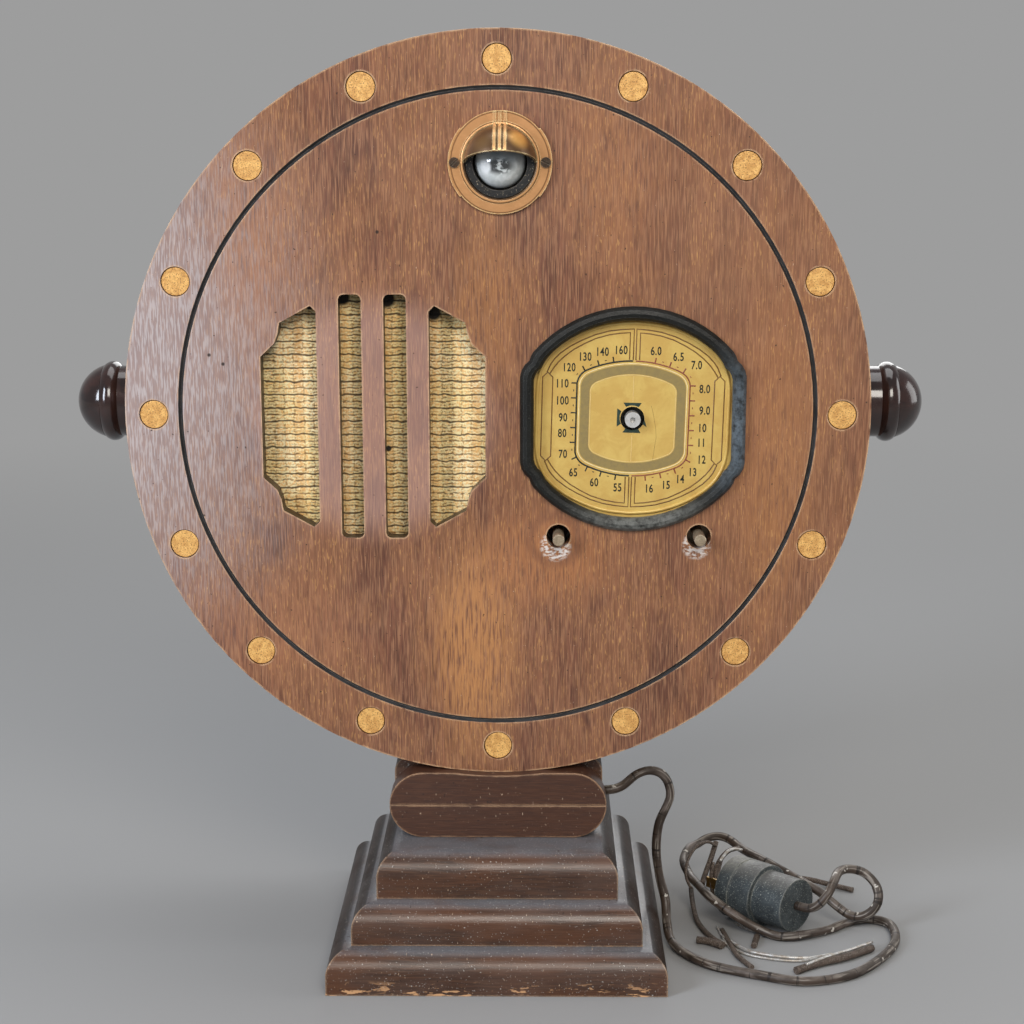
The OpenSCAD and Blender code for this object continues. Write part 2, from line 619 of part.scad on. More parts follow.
// Controls.
bushing_r = 4.76;
rear_shaft_r = shaft_r - 0.1;
shaft_groove_at = 4;
shaft_groove = 1.2;
pinch_r = pinch_run + 1.5;
pinch_gap = drive_disc_t + 0.4;
tip_bevel = 0.4;
module bare_shaft(side, rear) at_control(side) {
    translate([0, -shaft_out, 0]) turned() polygon([[0, 0], [shaft_r - tip_bevel, 0],
        [shaft_r, tip_bevel], [shaft_r, shaft_out + shaft_groove_at], [0, shaft_out + shaft_groove_at]]);
    translate([0, shaft_groove_at - eps, 0]) rod(shaft_r - 0.6, shaft_groove);
    translate([0, shaft_groove_at + shaft_groove - eps, 0])
        rod(rear_shaft_r, rear - shaft_groove_at - shaft_groove);
}
module tuning_shaft() color(brass) {
    bare_shaft(1, 41);
    at_control(1, drive_y - pinch_gap / 2) rod(pinch_run - 1.6, pinch_gap);
    at_control(1, drive_y - pinch_gap / 2 - 0.8) rod(pinch_r, 0.8);
    at_control(1, drive_y + pinch_gap / 2) rod(pinch_r, 0.8);
    at_control(1, 37.2) rod(5, 2);
}
module bushing_body(side) {
    at_control(side, bracket_y - 2) ring(bushing_r, rear_shaft_r + fit, 9);
    at_control(side, bracket_y - 2) difference() {
        rotate([-90, 0, 0]) cylinder(r = 7.2, h = 2, $fn = 6);
        translate([0, -1, 0]) rod(bushing_r - 1, 4);
    }
    at_control(side, bracket_y + bracket_t) ring(8, bushing_r - 1, 2);
}
module tuning_bushing() color(brass) bushing_body(1);
module volume_shaft() color(brass) bare_shaft(-1, 44);
pot_r = 16;
module volume_control() color(bakelite) {
    bushing_body(-1);
    at_control(-1, bracket_y + bracket_t + 2) difference() {
        rod(pot_r, 15);
        translate([0, -1, 0]) rod(rear_shaft_r + fit, 11.8);
    }
}

// Tuning gang.
spindle_out = 1;
spindle_bore_r = 1.5;
pin_end = 8;
module spindle() color(steel) at_dial() difference() {
    union() {
        translate([0, -spindle_out, 0]) rod(spindle_r, spindle_out + pin_end);
        translate([0, pin_end - eps, 0]) rod(rear_spindle_r, gang_back + 4 - pin_end);
    }
    translate([0, -spindle_out - 1, 0]) rod(spindle_bore_r, 4);
}
module drive_disc() color(steel) at_dial(drive_y - drive_disc_t / 2) {
    ring(disc_run + 1.2, rear_spindle_r + fit, drive_disc_t);
    translate([0, drive_disc_t, 0]) ring(8, rear_spindle_r + fit, 3);
}
gangs = [44, 74];
plates_each = 5;
module rotor_plates() color([0.75, 0.76, 0.78]) at_dial() for (g = gangs, i = [0 : plates_each - 1])
    translate([0, g + i * plate_pitch, 0]) difference() {
        intersection() {
            rod(plate_r, plate_t);
            translate([-plate_r, 0, -4.5]) cube([2 * plate_r, plate_t, plate_r + 4.5]);
        }
        translate([0, -1, 0]) rod(rear_spindle_r + fit, plate_t + 2);
    }
stator_rod_at = [[-22.2, -14], [-22.2, 14]];
stator_rod_r = 1.4;
module stator_plates() color([0.75, 0.76, 0.78]) at_dial() for (g = gangs, i = [0 : plates_each - 2])
    translate([0, g + (i + 0.5) * plate_pitch, 0]) difference() {
        translate([-24, 0, -19]) cube([19, plate_t, 38]);
        for (p = stator_rod_at) translate([p[0], -1, p[1]]) rod(stator_rod_r + fit, plate_t + 2);
    }
module stator_rods() color([0.85, 0.84, 0.8]) at_dial() for (p = stator_rod_at)
    translate([p[0], gang_front + 1.5, p[1]]) rod(stator_rod_r, gang_back - gang_front - 3);
module gang_frame() color([0.6, 0.6, 0.58]) at_dial() {
    for (y = [gang_front, gang_back - 1.5]) difference() {
        translate([-gang_half, y, -gang_low]) cube([2 * gang_half, 1.5, gang_low + gang_high]);
        translate([0, y - 1, 0]) rod(rear_spindle_r + fit, 4);
    }
    translate([-gang_half, gang_front, -gang_low])
        cube([2 * gang_half, gang_back - gang_front, 1.5]);
    for (side = [-1, 1]) translate([side * (gang_half - 3.5), gang_front + 1, gang_high - 3.5])
        rod(2, gang_back - gang_front - 2);
}
stand_top = -dial_down - gang_low;
module gang_stand() color(steel) at_disc(dial_right, 0, 0) {
    translate([-gang_half, bracket_y + bracket_t, stand_top - sheet])
        cube([2 * gang_half, gang_back - bracket_y - bracket_t, sheet]);
    translate([-gang_half, gang_back - sheet, deck_z])
        cube([2 * gang_half, sheet, stand_top - deck_z - sheet / 2]);
    translate([-foot_width / 2, gang_back - sheet, deck_z]) cube([foot_width, foot_depth, sheet]);
}

// Parts on the deck.
power_y = chassis_back - 26;
power_width = 52;
power_core = 18;
power_winding = 42;
power_height = deck_down - speaker_down - yoke_height / 2 - room;
module power_transformer() color([0.18, 0.18, 0.19]) at_disc(-speaker_left, power_y, deck_z) {
    translate([-power_width / 2, -power_core / 2, 0]) cube([power_width, power_core, power_height]);
    translate([-power_width / 2 + 9, -power_winding / 2, room])
        cube([power_width - 18, power_winding, power_height - 2 * room]);
    translate([-power_width / 2, -power_winding / 2 + 1, 0])
        cube([power_width, power_winding - 2, sheet]);
}
can_side = 28;
can_high = 66;
deck_edge = 1;
can_y = chassis_front + 32;
can_at = [chassis_half - can_side / 2 - deck_edge, dial_right - gang_half - room - loose - can_side * 1.5];
module coil_cans() color([0.78, 0.79, 0.8]) for (x = can_at) at_disc(x, can_y, deck_z)
    translate([-can_side / 2, -can_side / 2, 0]) cube([can_side, can_side, can_high]);
filter_r = 14;
filter_high = 32;
module filter_can() color([0.7, 0.71, 0.72])
    at_disc(-chassis_half + deck_edge + filter_r, chassis_front + 28, deck_z)
        cylinder(r = filter_r, h = filter_high);
socket_r = 16;
tube_y = chassis_back - 24;
tube_at = [-chassis_half + deck_edge + socket_r, -17, 22, chassis_half - deck_edge - socket_r];
socket_t = 4;
base_r = 15;
base_high = 22;
module tube_places() for (x = tube_at) at_disc(x, tube_y, deck_z) children();
module tube_sockets() color([0.3, 0.17, 0.08]) tube_places() cylinder(r = socket_r, h = socket_t);
module tube_bases() color(bakelite) tube_places() translate([0, 0, socket_t]) {
    cylinder(r = base_r, h = base_high);
    cylinder(r = base_r + 0.8, h = 4);
}
envelope = [[12.5, 0], [13.8, 4], [15.4, 11], [15.6, 19], [14.4, 28], [12, 35], [11.2, 41],
    [11.2, 50], [10, 54.5], [6.4, 58.4], [0, 60]];
inside = [[0, 58.8], [5.9, 57.2], [9, 53.8], [10.2, 49.6], [10.2, 41], [11, 34.6],
    [13.4, 27.6], [14.6, 19], [14.4, 11.2], [12.8, 4.2], [11.6, 1], [0, 1]];
module tube_glass() color(glass) tube_places() translate([0, 0, socket_t + base_high])
    rotate_extrude() polygon(concat([[0, 0]], envelope, inside));
module tube_plates() color([0.25, 0.25, 0.26]) tube_places() translate([0, 0, socket_t + base_high + 1]) {
    translate([-9, -5, 4]) cube([18, 10, 26]);
    cylinder(r = 2.5, h = 6);
    translate([0, 0, 29]) cylinder(r = 8.5, h = 1);
}

// Tuning eye.
flange_t = 2;
eye_lip_r = 1.2;
eye_head_r = 2.7;
eye_slot_width = 0.9;
visor_r = 19.2;
visor_low = 18.6;
rib_width = 1.3;
rib_pitch = 2.8;
rib_high = 1;
rib_places = [-rib_pitch, 0, rib_pitch];
rib_low_z = visor_r - 0.2;
rib_top_z = eye_flange / 2 - 1.4;
module eye_escutcheon() color(brass) at_eye() {
    difference() {
        union() {
            translate([0, -flange_t, 0]) rod(eye_flange / 2 - 0.8, flange_t);
            for (side = [-90, 90]) rotate([0, side, 0]) rotate([90, 0, 0])
                rotate_extrude(angle = 80, start = 50) square([eye_flange / 2, flange_t]);
            translate([0, -flange_t, 0]) turned() translate([eye_open_r + eye_lip_r, 0])
                circle(r = eye_lip_r, $fn = 24);
        }
        translate([0, -5, 0]) rod(eye_open_r, 8);
        translate([0, -5, 0]) eye_screw_places() rod(eye_screw_r + fit, 8);
    }
    visor();
    // The flange carries the hood's three ribs on, up to its rim.
    for (x = rib_places) translate([x, -flange_t - rib_high, rib_low_z])
        translate([-rib_width / 2, 0, 0]) cube([rib_width, rib_high + 0.5, rib_top_z - rib_low_z]);
}
// The eyelid: part of a hollow ball, turned about the left-right axis.
module visor() translate([0, -flange_t + 0.4, 0]) rotate([0, 90, 0]) {
    rotate_extrude(angle = 90 - visor_low - 1, start = 181) difference() {
        circle(r = visor_r, $fn = 96);
        circle(r = visor_r - 1.3, $fn = 96);
        translate([-40, -40]) square([40, 80]);
    }
    for (x = rib_places) rotate_extrude(angle = 90 - visor_low - 1, start = 181)
        translate([visor_r - 0.6, x - rib_width / 2]) square([rib_high + 0.6, rib_width]);
}
// A rubber sleeve that fills the hole round the tube, with a narrow nose inside the lip.
module eye_sleeve() color(black) at_eye() {
    translate([0, -1, 0]) ring(eye_open_r - loose, eye_r + loose, 2);
    ring(eye_hole_r - fit, eye_r + loose, disc_thickness);
}
module eye_screws() color(steel) at_eye() eye_screw_places() {
    translate([0, -flange_t - 0.6, 0]) rod(eye_screw_r, flange_t + 8);
    difference() {
        translate([0, -flange_t - 1.2, 0]) rod(eye_head_r, 1.2);
        rotate([0, $screw_side < 0 ? 45 : -65, 0])
            translate([-eye_slot_width / 2, -flange_t - 2, -4]) cube([eye_slot_width, 1.4, 8]);
    }
}
eye_len = 74;
module eye_tube() color(glass) at_eye(-6) turned() difference() {
    union() {
        intersection() {
            translate([0, 14.2]) circle(r = 14.2, $fn = 96);
            square([eye_r, 12.4]);
        }
        translate([0, 12]) square([eye_r, eye_len - 12]);
    }
    translate([0, 20]) square([eye_r - 1.2, eye_len - 22]);
}
module eye_base() color(bakelite) at_eye(eye_len - 6) {
    rod(15.2, 24);
    translate([0, 24, 0]) rod(17, 6);
}
// A clip round the tube on two legs that stand on the disc's back.
clip_r = eye_r + loose + bracket_t;
leg_x = clip_r + 8;
leg_width = 12;
leg_long = 46;
module eye_bracket() color(steel) at_eye(disc_thickness) {
    translate([0, leg_long - 14, 0]) ring(clip_r, eye_r + loose, 14);
    for (side = [-1, 1]) {
        translate([side * leg_x, 0, 0]) slab(bracket_t, leg_long, leg_width);
        translate([side * (leg_x + clip_r - loose) / 2, leg_long - 7, 0])
            slab(leg_x - clip_r + loose + bracket_t, bracket_t, leg_width);
        translate([side * (leg_x + 4.5), 0, 0]) slab(9 + bracket_t, bracket_t, leg_width);
    }
}

// Cords.
function unit(v) = v / norm(v);
function cross_frame(d, up) = let (s = unit(cross(d, up)), u = cross(s, d)) [s, u];
// A smooth curve through the route points, a few steps per point.
function spline(a, b, c, d, t) = 0.5 * ((2 * b) + (c - a) * t + (2 * a - 5 * b + 4 * c - d) * t * t
    + (3 * b - a - 3 * c + d) * t * t * t);
function smooth(p, steps) = let (n = len(p)) concat(
    [for (i = [0 : n - 2], k = [0 : steps - 1])
        spline(p[max(i - 1, 0)], p[i], p[i + 1], p[min(i + 2, n - 1)], k / steps)], [p[n - 1]]);
function heading(q, i) = unit(q[min(i + 1, len(q) - 1)] - q[max(i - 1, 0)]);
// Carries one sideways direction along the curve, so the tube doesn't twist.
function carried(q, i, side) = let (d = heading(q, i)) unit(side - d * (side * d));
function sides_along(q, i, side) = i >= len(q) ? [] :
    let (s = carried(q, i, side)) concat([s], sides_along(q, i + 1, s));
module tube(q, r, n) {
    m = len(q);
    first = heading(q, 0);
    side = sides_along(q, 0, abs(first[2]) < 0.9 ? cross(first, [0, 0, 1]) : [1, 0, 0]);
    points = [for (i = [0 : m - 1], k = [0 : n - 1])
        let (d = heading(q, i), s = side[i], u = cross(d, s), a = 360 * k / n)
            q[i] + r * (cos(a) * s + sin(a) * u)];
    walls = [for (i = [0 : m - 2], k = [0 : n - 1])
        [i * n + k, i * n + (k + 1) % n, (i + 1) * n + (k + 1) % n, (i + 1) * n + k]];
    polyhedron(points, concat([[for (k = [n - 1 : -1 : 0]) k]], walls,
        [[for (k = [0 : n - 1]) (m - 1) * n + k]]));
}
eye_cable_route = [[eye_right, 98, eye_up], [eye_right, 106, eye_up - 1], [6, 112, 122], [16, 113, 100],
    [32, 113, 74], [42, 113, 44], [44, 113, 14], [44, 113, -18], [44, 113, -50], [44, 113, -85]];
module eye_cable() color([0.25, 0.2, 0.15]) at_disc() tube(smooth(eye_cable_route, 3), 2.4, 8);

// Plug: its blade end, its cord end and the way it points, on the table.
plug_front = [139.3, 24.1, 18.5];
plug_turn = -135;
plug_wide_r = 18.5;
plug_narrow_r = 15.5;
plug_wide_length = 25;
plug_length = 46.4;
module at_plug(y = 0) translate(plug_front) rotate([0, 0, plug_turn]) translate([0, y, 0]) children();
// The cord from the chassis down through the neck, then as it lies in the photograph.
cord_inside = [[16, -2, 220], [16, -2, 200], [16, -2, 180], [16, -2, 160], [16, -2, 140],
    [16, -2, 120], [16, -2, 101], [18, -2, 93.5], [23.5, -2, 88], [31, -2, 86], [45, -2, 86]];
cord_hanging = [[60, -2, 86], [69.9, -1.1, 87.8], [79, -0.5, 95], [86.6, 1.3, 96.9], [93.2, 2.4, 94.7],
    [97.4, 2.6, 89], [98.4, 1.7, 79.9], [92.5, 0.2, 65.7], [91, 0, 50], [93, -1, 34], [96.5, -4, 20],
    [97, -12, 10], [98.7, -27, 4.2]];
cord_lying = [[106, -44, 2.9], [121, -62, 2.9], [145.5, -74.5, 2.8], [168, -82.5, 2.8],
    [193.5, -74, 2.8], [213, -52.5, 2.8], [226.7, -26.1, 2.8], [229.4, -1.9, 2.8], [223.5, 8.3, 3],
    [212.8, 10.3, 2.8], [202.6, 4.1, 2.8], [192.3, -5.8, 2.9], [175.2, -17.1, 3.8], [161.7, -17.1, 2.8],
    [149.8, -10, 4.9], [137.6, -6.3, 11], [124.1, 5.9, 17.4], [117.4, 24.4, 19.1], [113.5, 39, 20],
    [111.3, 55.7, 22.7], [115.2, 69.5, 25.4], [121.6, 77.8, 26], [127.4, 81.1, 28.3],
    [134.2, 80.8, 29.8], [140.7, 77.3, 29], [148.6, 67.2, 25.8], [161, 43.5, 26], [175.5, 28.5, 22],
    [188.2, 14.8, 18.4], [202.2, 3.5, 9.9], [209.9, -2, 9.3], [216.6, -4.5, 13.5], [220.2, -4, 20.3],
    [219.3, -0.9, 27.7], [213, 3.3, 34], [204.7, 3.7, 36.5], [197.3, -1.3, 36.7], [192.5, -12.8, 34.4],
    [188.8, -17.9, 29.2], [183.9, -18.3, 23], [178.5, -15, 19.3], [172.1, -8.7, 18.5]];
cord_route = concat(cord_inside, cord_hanging, cord_lying);
module power_cord() color([0.2, 0.16, 0.13]) tube(cord_route, cord_diameter / 2, 8);
// The least gap between two stretches of cord that lie more than 40 mm of cord apart.
cord_along = [for (i = 0, run = 0; i < len(cord_route); run = run
    + (i + 1 < len(cord_route) ? norm(cord_route[i + 1] - cord_route[i]) : 0), i = i + 1) run];
cord_gaps = [for (i = [0 : len(cord_route) - 1], j = [i + 1 : len(cord_route) - 1])
    if (cord_along[j] - cord_along[i] > 40)
        for (t = [0, 0.5]) norm(cord_route[i] - (cord_route[j] * (1 - t)
            + cord_route[min(j + 1, len(cord_route) - 1)] * t)) - cord_diameter];
echo(cord_length_mm = cord_along[len(cord_route) - 1], least_cord_gap_mm = min(cord_gaps));
module plug_body() color(black) at_plug() difference() {
    union() {
        rod(plug_wide_r, plug_wide_length);
        rod(plug_narrow_r, plug_length);
    }
    translate([0, 9, 0]) ring(plug_wide_r + 1, plug_wide_r - 0.6, 1.2);
}
blade_gap = 12.7;
module plug_blades() color(brass) at_plug(-16) for (side = [-1, 1])
    translate([side * blade_gap / 2, 0, 0]) slab(1.6, 16, 6.4);

base_tier_bottom();
base_tier_middle();
base_tier_top();
base_screws();
front_boss_lower();
front_boss_upper();
neck_block();
neck_screws();
front_panel();
rim_plugs();
drum_shell();
glue_blocks();
side_knob_left();
side_knob_right();
side_knob_screws();
grille_cloth();
baffle_board();
baffle_screws();
speaker_basket();
speaker_cone();
speaker_yoke();
field_coil();
speaker_bolts();
output_transformer();
dial_bezel();
dial_pan();
dial_scale();
chassis_shelf();
chassis();
chassis_bolts();
front_bracket();
tuning_shaft();
tuning_bushing();
volume_shaft();
volume_control();
spindle();
drive_disc();
rotor_plates();
gang_frame();
gang_stand();
stator_plates();
stator_rods();
power_transformer();
coil_cans();
filter_can();
tube_sockets();
tube_bases();
tube_glass();
tube_plates();
eye_escutcheon();
eye_sleeve();
eye_screws();
eye_tube();
eye_base();
eye_bracket();
eye_cable();
power_cord();
plug_body();
plug_blades();
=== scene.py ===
# %% [markdown]
# # A round wooden table radio on a stepped pedestal
# This lesson dresses a finished CAD model. The CAD model says where every piece
# is and how big it is. Here each piece gets the surface that the real one has:
# lacquered wood, worn black paint, antique brass, old rubber, woven cloth.

import math
import random

import bmesh
import bpy
from mathutils import Matrix, Vector


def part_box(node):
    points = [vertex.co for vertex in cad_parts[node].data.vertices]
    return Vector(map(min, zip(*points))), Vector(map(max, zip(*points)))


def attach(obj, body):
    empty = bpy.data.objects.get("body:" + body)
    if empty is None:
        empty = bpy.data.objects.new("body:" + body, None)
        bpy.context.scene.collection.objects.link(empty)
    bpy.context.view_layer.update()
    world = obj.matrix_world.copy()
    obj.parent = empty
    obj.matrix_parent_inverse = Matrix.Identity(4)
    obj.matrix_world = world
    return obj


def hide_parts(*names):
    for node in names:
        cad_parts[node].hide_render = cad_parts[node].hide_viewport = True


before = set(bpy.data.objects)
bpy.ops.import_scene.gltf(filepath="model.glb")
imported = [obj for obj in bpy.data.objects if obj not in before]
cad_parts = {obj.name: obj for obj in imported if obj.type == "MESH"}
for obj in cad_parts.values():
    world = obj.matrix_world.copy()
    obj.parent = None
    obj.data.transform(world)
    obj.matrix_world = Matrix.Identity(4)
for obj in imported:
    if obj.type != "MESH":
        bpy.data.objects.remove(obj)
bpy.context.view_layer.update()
bpy.ops.object.select_all(action="DESELECT")
scene = bpy.context.scene
print("CAD nodes:", len(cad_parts))

# %% [markdown]
# All sizes are thought of in millimetres, as a cabinet maker would, and turned
# to metres in one place. Most pieces sit on the round front, so a second helper
# measures from the middle of its face: x to the right, y into the cabinet, z up.

# %% sizes and places
MM = 0.001
DISC = Vector((0.0, -35.0, 307.0))


def metres(x, y, z):
    return Vector((x, y, z)) * MM


def on_disc(x, y, z):
    return metres(DISC.x + x, DISC.y + y, DISC.z + z)


# Every new object, lamp or camera comes into the scene by this one door.
def placed(name, data):
    piece = bpy.data.objects.new(name, data)
    scene.collection.objects.link(piece)
    return piece


SPEAKER = (-66.5, -1.6)
DIAL = (72.5, -2.5)
EYE = (1.6, 132.2)
print("disc centre", tuple(metres(*DISC)))

# %% [markdown]
# The camera stands where the photographer's did, a little above the set and
# looking down at it. It is placed by its own three directions, so that nothing
# depends on the order of rotations. The lens shift keeps the picture's frame.

# %% the camera
CAMERA_AT = metres(20.44, -1146.87, 453.47)
LOOK_DOWN, LOOK_ASIDE, ROLL = 13.22, -0.63, -0.02
SENSOR_MM, LENS_MM = 36.0, 73.18
SHIFT_X, SHIFT_Y = -0.0008, 0.1087
NEAR, FAR = 0.05, 20.0


def camera_turn(down, aside, roll):
    down, aside, roll = map(math.radians, (down, aside, roll))
    ahead = Vector((math.sin(aside) * math.cos(down), math.cos(aside) * math.cos(down),
                    -math.sin(down)))
    right = Vector((math.cos(aside), -math.sin(aside), 0.0))
    up = right.cross(ahead)
    right_rolled = math.cos(roll) * right + math.sin(roll) * up
    up_rolled = math.cos(roll) * up - math.sin(roll) * right
    return Matrix((right_rolled, up_rolled, -ahead)).transposed()


lens = bpy.data.cameras.new("camera")
lens.sensor_width, lens.lens = SENSOR_MM, LENS_MM
lens.shift_x, lens.shift_y = SHIFT_X, SHIFT_Y
lens.clip_start, lens.clip_end = NEAR, FAR
camera = placed("camera", lens)
camera.matrix_world = Matrix.Translation(CAMERA_AT) @ camera_turn(
    LOOK_DOWN, LOOK_ASIDE, ROLL).to_4x4()
scene.camera = camera
scene.view_settings.view_transform = "Standard"
print("camera at", tuple(round(c, 3) for c in camera.location))

# %% [markdown]
# A material is a small graph of nodes. One function adds a node, sets its
# choices and fills its sockets, and hands back the output that is used next.
# Colours are written as the usual hex numbers and turned to the linear numbers
# that shaders work with.

# %% colour and node helpers
def colour(hexa):
    parts = [int(hexa[i:i + 2], 16) / 255 for i in (0, 2, 4)]
    return [c / 12.92 if c <= 0.04045 else ((c + 0.055) / 1.055) ** 2.4 for c in parts] + [1.0]


def add(tree, kind, sockets=None, out=0, **choices):
    made = tree.nodes.new("ShaderNode" + kind)
    for key, value in choices.items():
        setattr(made, key, value)
    for key, value in (sockets or {}).items():
        if isinstance(value, bpy.types.NodeSocket):
            tree.links.new(value, made.inputs[key])
        else:
            made.inputs[key].default_value = value
    return made.outputs[out]


def new_material(name, **sockets):
    material = bpy.data.materials.new(name)
    material.use_nodes = True
    tree = material.node_tree
    shader = tree.nodes["Principled BSDF"]
    for key, value in sockets.items():
        shader.inputs[key.replace("_", " ")].default_value = value
    return material, tree, shader


print("helpers ready")

# %% [markdown]
# Old things are never one colour. Five patterns are used again and again here:
# blotches or streaks of a real size, a spot of wear round one place, wear on
# sharp edges, dust on what faces up, and a coat of one colour after another,
# each with its own mask.

# %% patterns that the finishes share
# Spots of about so many millimetres along x, y and z. The noise is nothing below its low
# end and one above its high end, and the shift gives every layer noise of its own.
def blotches(tree, size_mm, low=0.0, high=1.0, detail=3.0, rough=0.55, twist=0.0, shift=(0, 0, 0)):
    place = add(tree, "TexCoord", out="Object")
    stretch = add(tree, "Mapping", {
        "Vector": place, "Scale": [1 / (MM * s) for s in size_mm], "Location": shift})
    field = add(tree, "TexNoise", {"Vector": stretch, "Scale": 1.0, "Detail": detail,
                                   "Roughness": rough, "Distortion": twist}, "Fac")
    return add(tree, "MapRange", {"Value": field, "From Min": low, "From Max": high},
               interpolation_type="SMOOTHSTEP")


# One inside the inner size and nothing beyond the outer one. With the larger size first
# it is the other way round. A squeeze below one makes the place longer along that axis.
def round_place(tree, at, inner_mm, outer_mm, squeeze=(1, 1, 1)):
    place = add(tree, "TexCoord", out="Object")
    away = add(tree, "VectorMath", {0: place, 1: at}, operation="SUBTRACT")
    shaped = add(tree, "VectorMath", {0: away, 1: squeeze}, operation="MULTIPLY")
    distance = add(tree, "VectorMath", {0: shaped}, "Value", operation="LENGTH")
    return add(tree, "MapRange", {"Value": distance, "From Min": outer_mm * MM,
                                  "From Max": inner_mm * MM}, interpolation_type="SMOOTHSTEP")


# Near a sharp edge a rounded normal turns away from the flat one, and the more, the nearer.
def on_edges(tree, reach_mm, low=0.02, high=0.2):
    rounded = add(tree, "Bevel", {"Radius": reach_mm * MM}, samples=4)
    flat = add(tree, "NewGeometry", out="Normal")
    same = add(tree, "VectorMath", {0: rounded, 1: flat}, "Value", operation="DOT_PRODUCT")
    return add(tree, "MapRange", {"Value": same, "From Min": 1 - low, "From Max": 1 - high},
               interpolation_type="SMOOTHSTEP")


# How far a surface faces along one axis: 1 along it, 0 across it, -1 against it.
def facing(tree, axis):
    return add(tree, "SeparateXYZ", {0: add(tree, "NewGeometry", out="Normal")}, axis)


# Dust lies where a surface faces up: none below the first slope, all of it above the second.
def dusty(tree, low=0.55, high=0.95):
    return add(tree, "MapRange", {"Value": facing(tree, "Z"), "From Min": low, "From Max": high},
               interpolation_type="SMOOTHSTEP")


# The masks of one layer, multiplied together and by the layer's strength.
def cover(tree, strength, masks):
    amount = strength
    for mask in masks:
        amount = add(tree, "Math", {0: mask, 1: amount}, operation="MULTIPLY")
    return amount


# Layers of colour on a ground, which is a hex colour or what earlier layers made.
# Each layer is a tint, a strength and its masks.
def coats(tree, ground, *layers):
    seen = colour(ground) if isinstance(ground, str) else ground
    for tint, strength, *masks in layers:
        seen = add(tree, "Mix", {0: cover(tree, strength, masks), 6: seen, 7: colour(tint)}, 2,
                   data_type="RGBA")
    return seen


# The last step of a finish: its colour, how its roughness varies, and its fine relief.
def surface(tree, shader, seen, rough, matt, height, depth_mm, strength=1.0):
    low, high = rough
    rougher = add(tree, "Math", {0: cover(tree, high - low, matt), 1: low}, operation="ADD")
    bump = add(tree, "Bump", {"Height": height, "Strength": strength, "Distance": depth_mm * MM})
    for socket, value in (("Base Color", seen), ("Roughness", rougher), ("Normal", bump)):
        tree.links.new(value, shader.inputs[socket])


print("patterns ready")

# %% [markdown]
# The mains cord comes before everything else that is modelled, because it
# reaches furthest. It is one tube swept along the same points as in the CAD
# model. Old rubber is uneven, so the tube's thickness wanders a little.

# %% the cord's points, in millimetres
# Down through the drum and the neck, out at the neck's right side and down to
# the floor, then round in front, about the plug and into its narrow end.
CORD_INSIDE = [(16, -2, 220), (16, -2, 200), (16, -2, 180), (16, -2, 160), (16, -2, 140),
               (16, -2, 120), (16, -2, 101), (18, -2, 93.5), (23.5, -2, 88), (31, -2, 86),
               (45, -2, 86)]
CORD_HANGING = [(60, -2, 86), (69.9, -1.1, 87.8), (79, -0.5, 95), (86.6, 1.3, 96.9),
                (93.2, 2.4, 94.7), (97.4, 2.6, 89), (98.4, 1.7, 79.9), (92.5, 0.2, 65.7),
                (91, 0, 50), (93, -1, 34), (96.5, -4, 20), (97, -12, 10), (98.7, -27, 4.2)]
CORD_LYING = [(106, -44, 2.9), (121, -62, 2.9), (145.5, -74.5, 2.8), (168, -82.5, 2.8),
              (193.5, -74, 2.8), (213, -52.5, 2.8), (226.7, -26.1, 2.8), (229.4, -1.9, 2.8),
              (223.5, 8.3, 3), (212.8, 10.3, 2.8), (202.6, 4.1, 2.8), (192.3, -5.8, 2.9),
              (175.2, -17.1, 3.8), (161.7, -17.1, 2.8), (149.8, -10, 4.9), (137.6, -6.3, 11),
              (124.1, 5.9, 17.4), (117.4, 24.4, 19.1), (113.5, 39, 20), (111.3, 55.7, 22.7),
              (115.2, 69.5, 25.4), (121.6, 77.8, 26), (127.4, 81.1, 28.3), (134.2, 80.8, 29.8),
              (140.7, 77.3, 29), (148.6, 67.2, 25.8), (161, 43.5, 26), (175.5, 28.5, 22),
              (188.2, 14.8, 18.4), (202.2, 3.5, 9.9), (209.9, -2, 9.3), (216.6, -4.5, 13.5),
              (220.2, -4, 20.3), (219.3, -0.9, 27.7), (213, 3.3, 34), (204.7, 3.7, 36.5),
              (197.3, -1.3, 36.7), (192.5, -12.8, 34.4), (188.8, -17.9, 29.2), (183.9, -18.3, 23),
              (178.5, -15, 19.3), (172.1, -8.7, 18.5)]
CORD_ROUTE = [metres(*p) for p in CORD_INSIDE + CORD_HANGING + CORD_LYING]


# A smooth curve through all the points, with so many steps from one to the next.
def smooth_path(points, steps):
    out = []
    for i in range(len(points) - 1):
        a, b = points[max(i - 1, 0)], points[i]
        c, d = points[i + 1], points[min(i + 2, len(points) - 1)]
        for k in range(steps):
            t = k / steps
            out.append(0.5 * ((2 * b) + (c - a) * t + (2 * a - 5 * b + 4 * c - d) * t * t
                              + (3 * b - a - 3 * c + d) * t * t * t))
    return out + [points[-1]]


def path_length(points):
    return sum((b - a).length for a, b in zip(points, points[1:]))


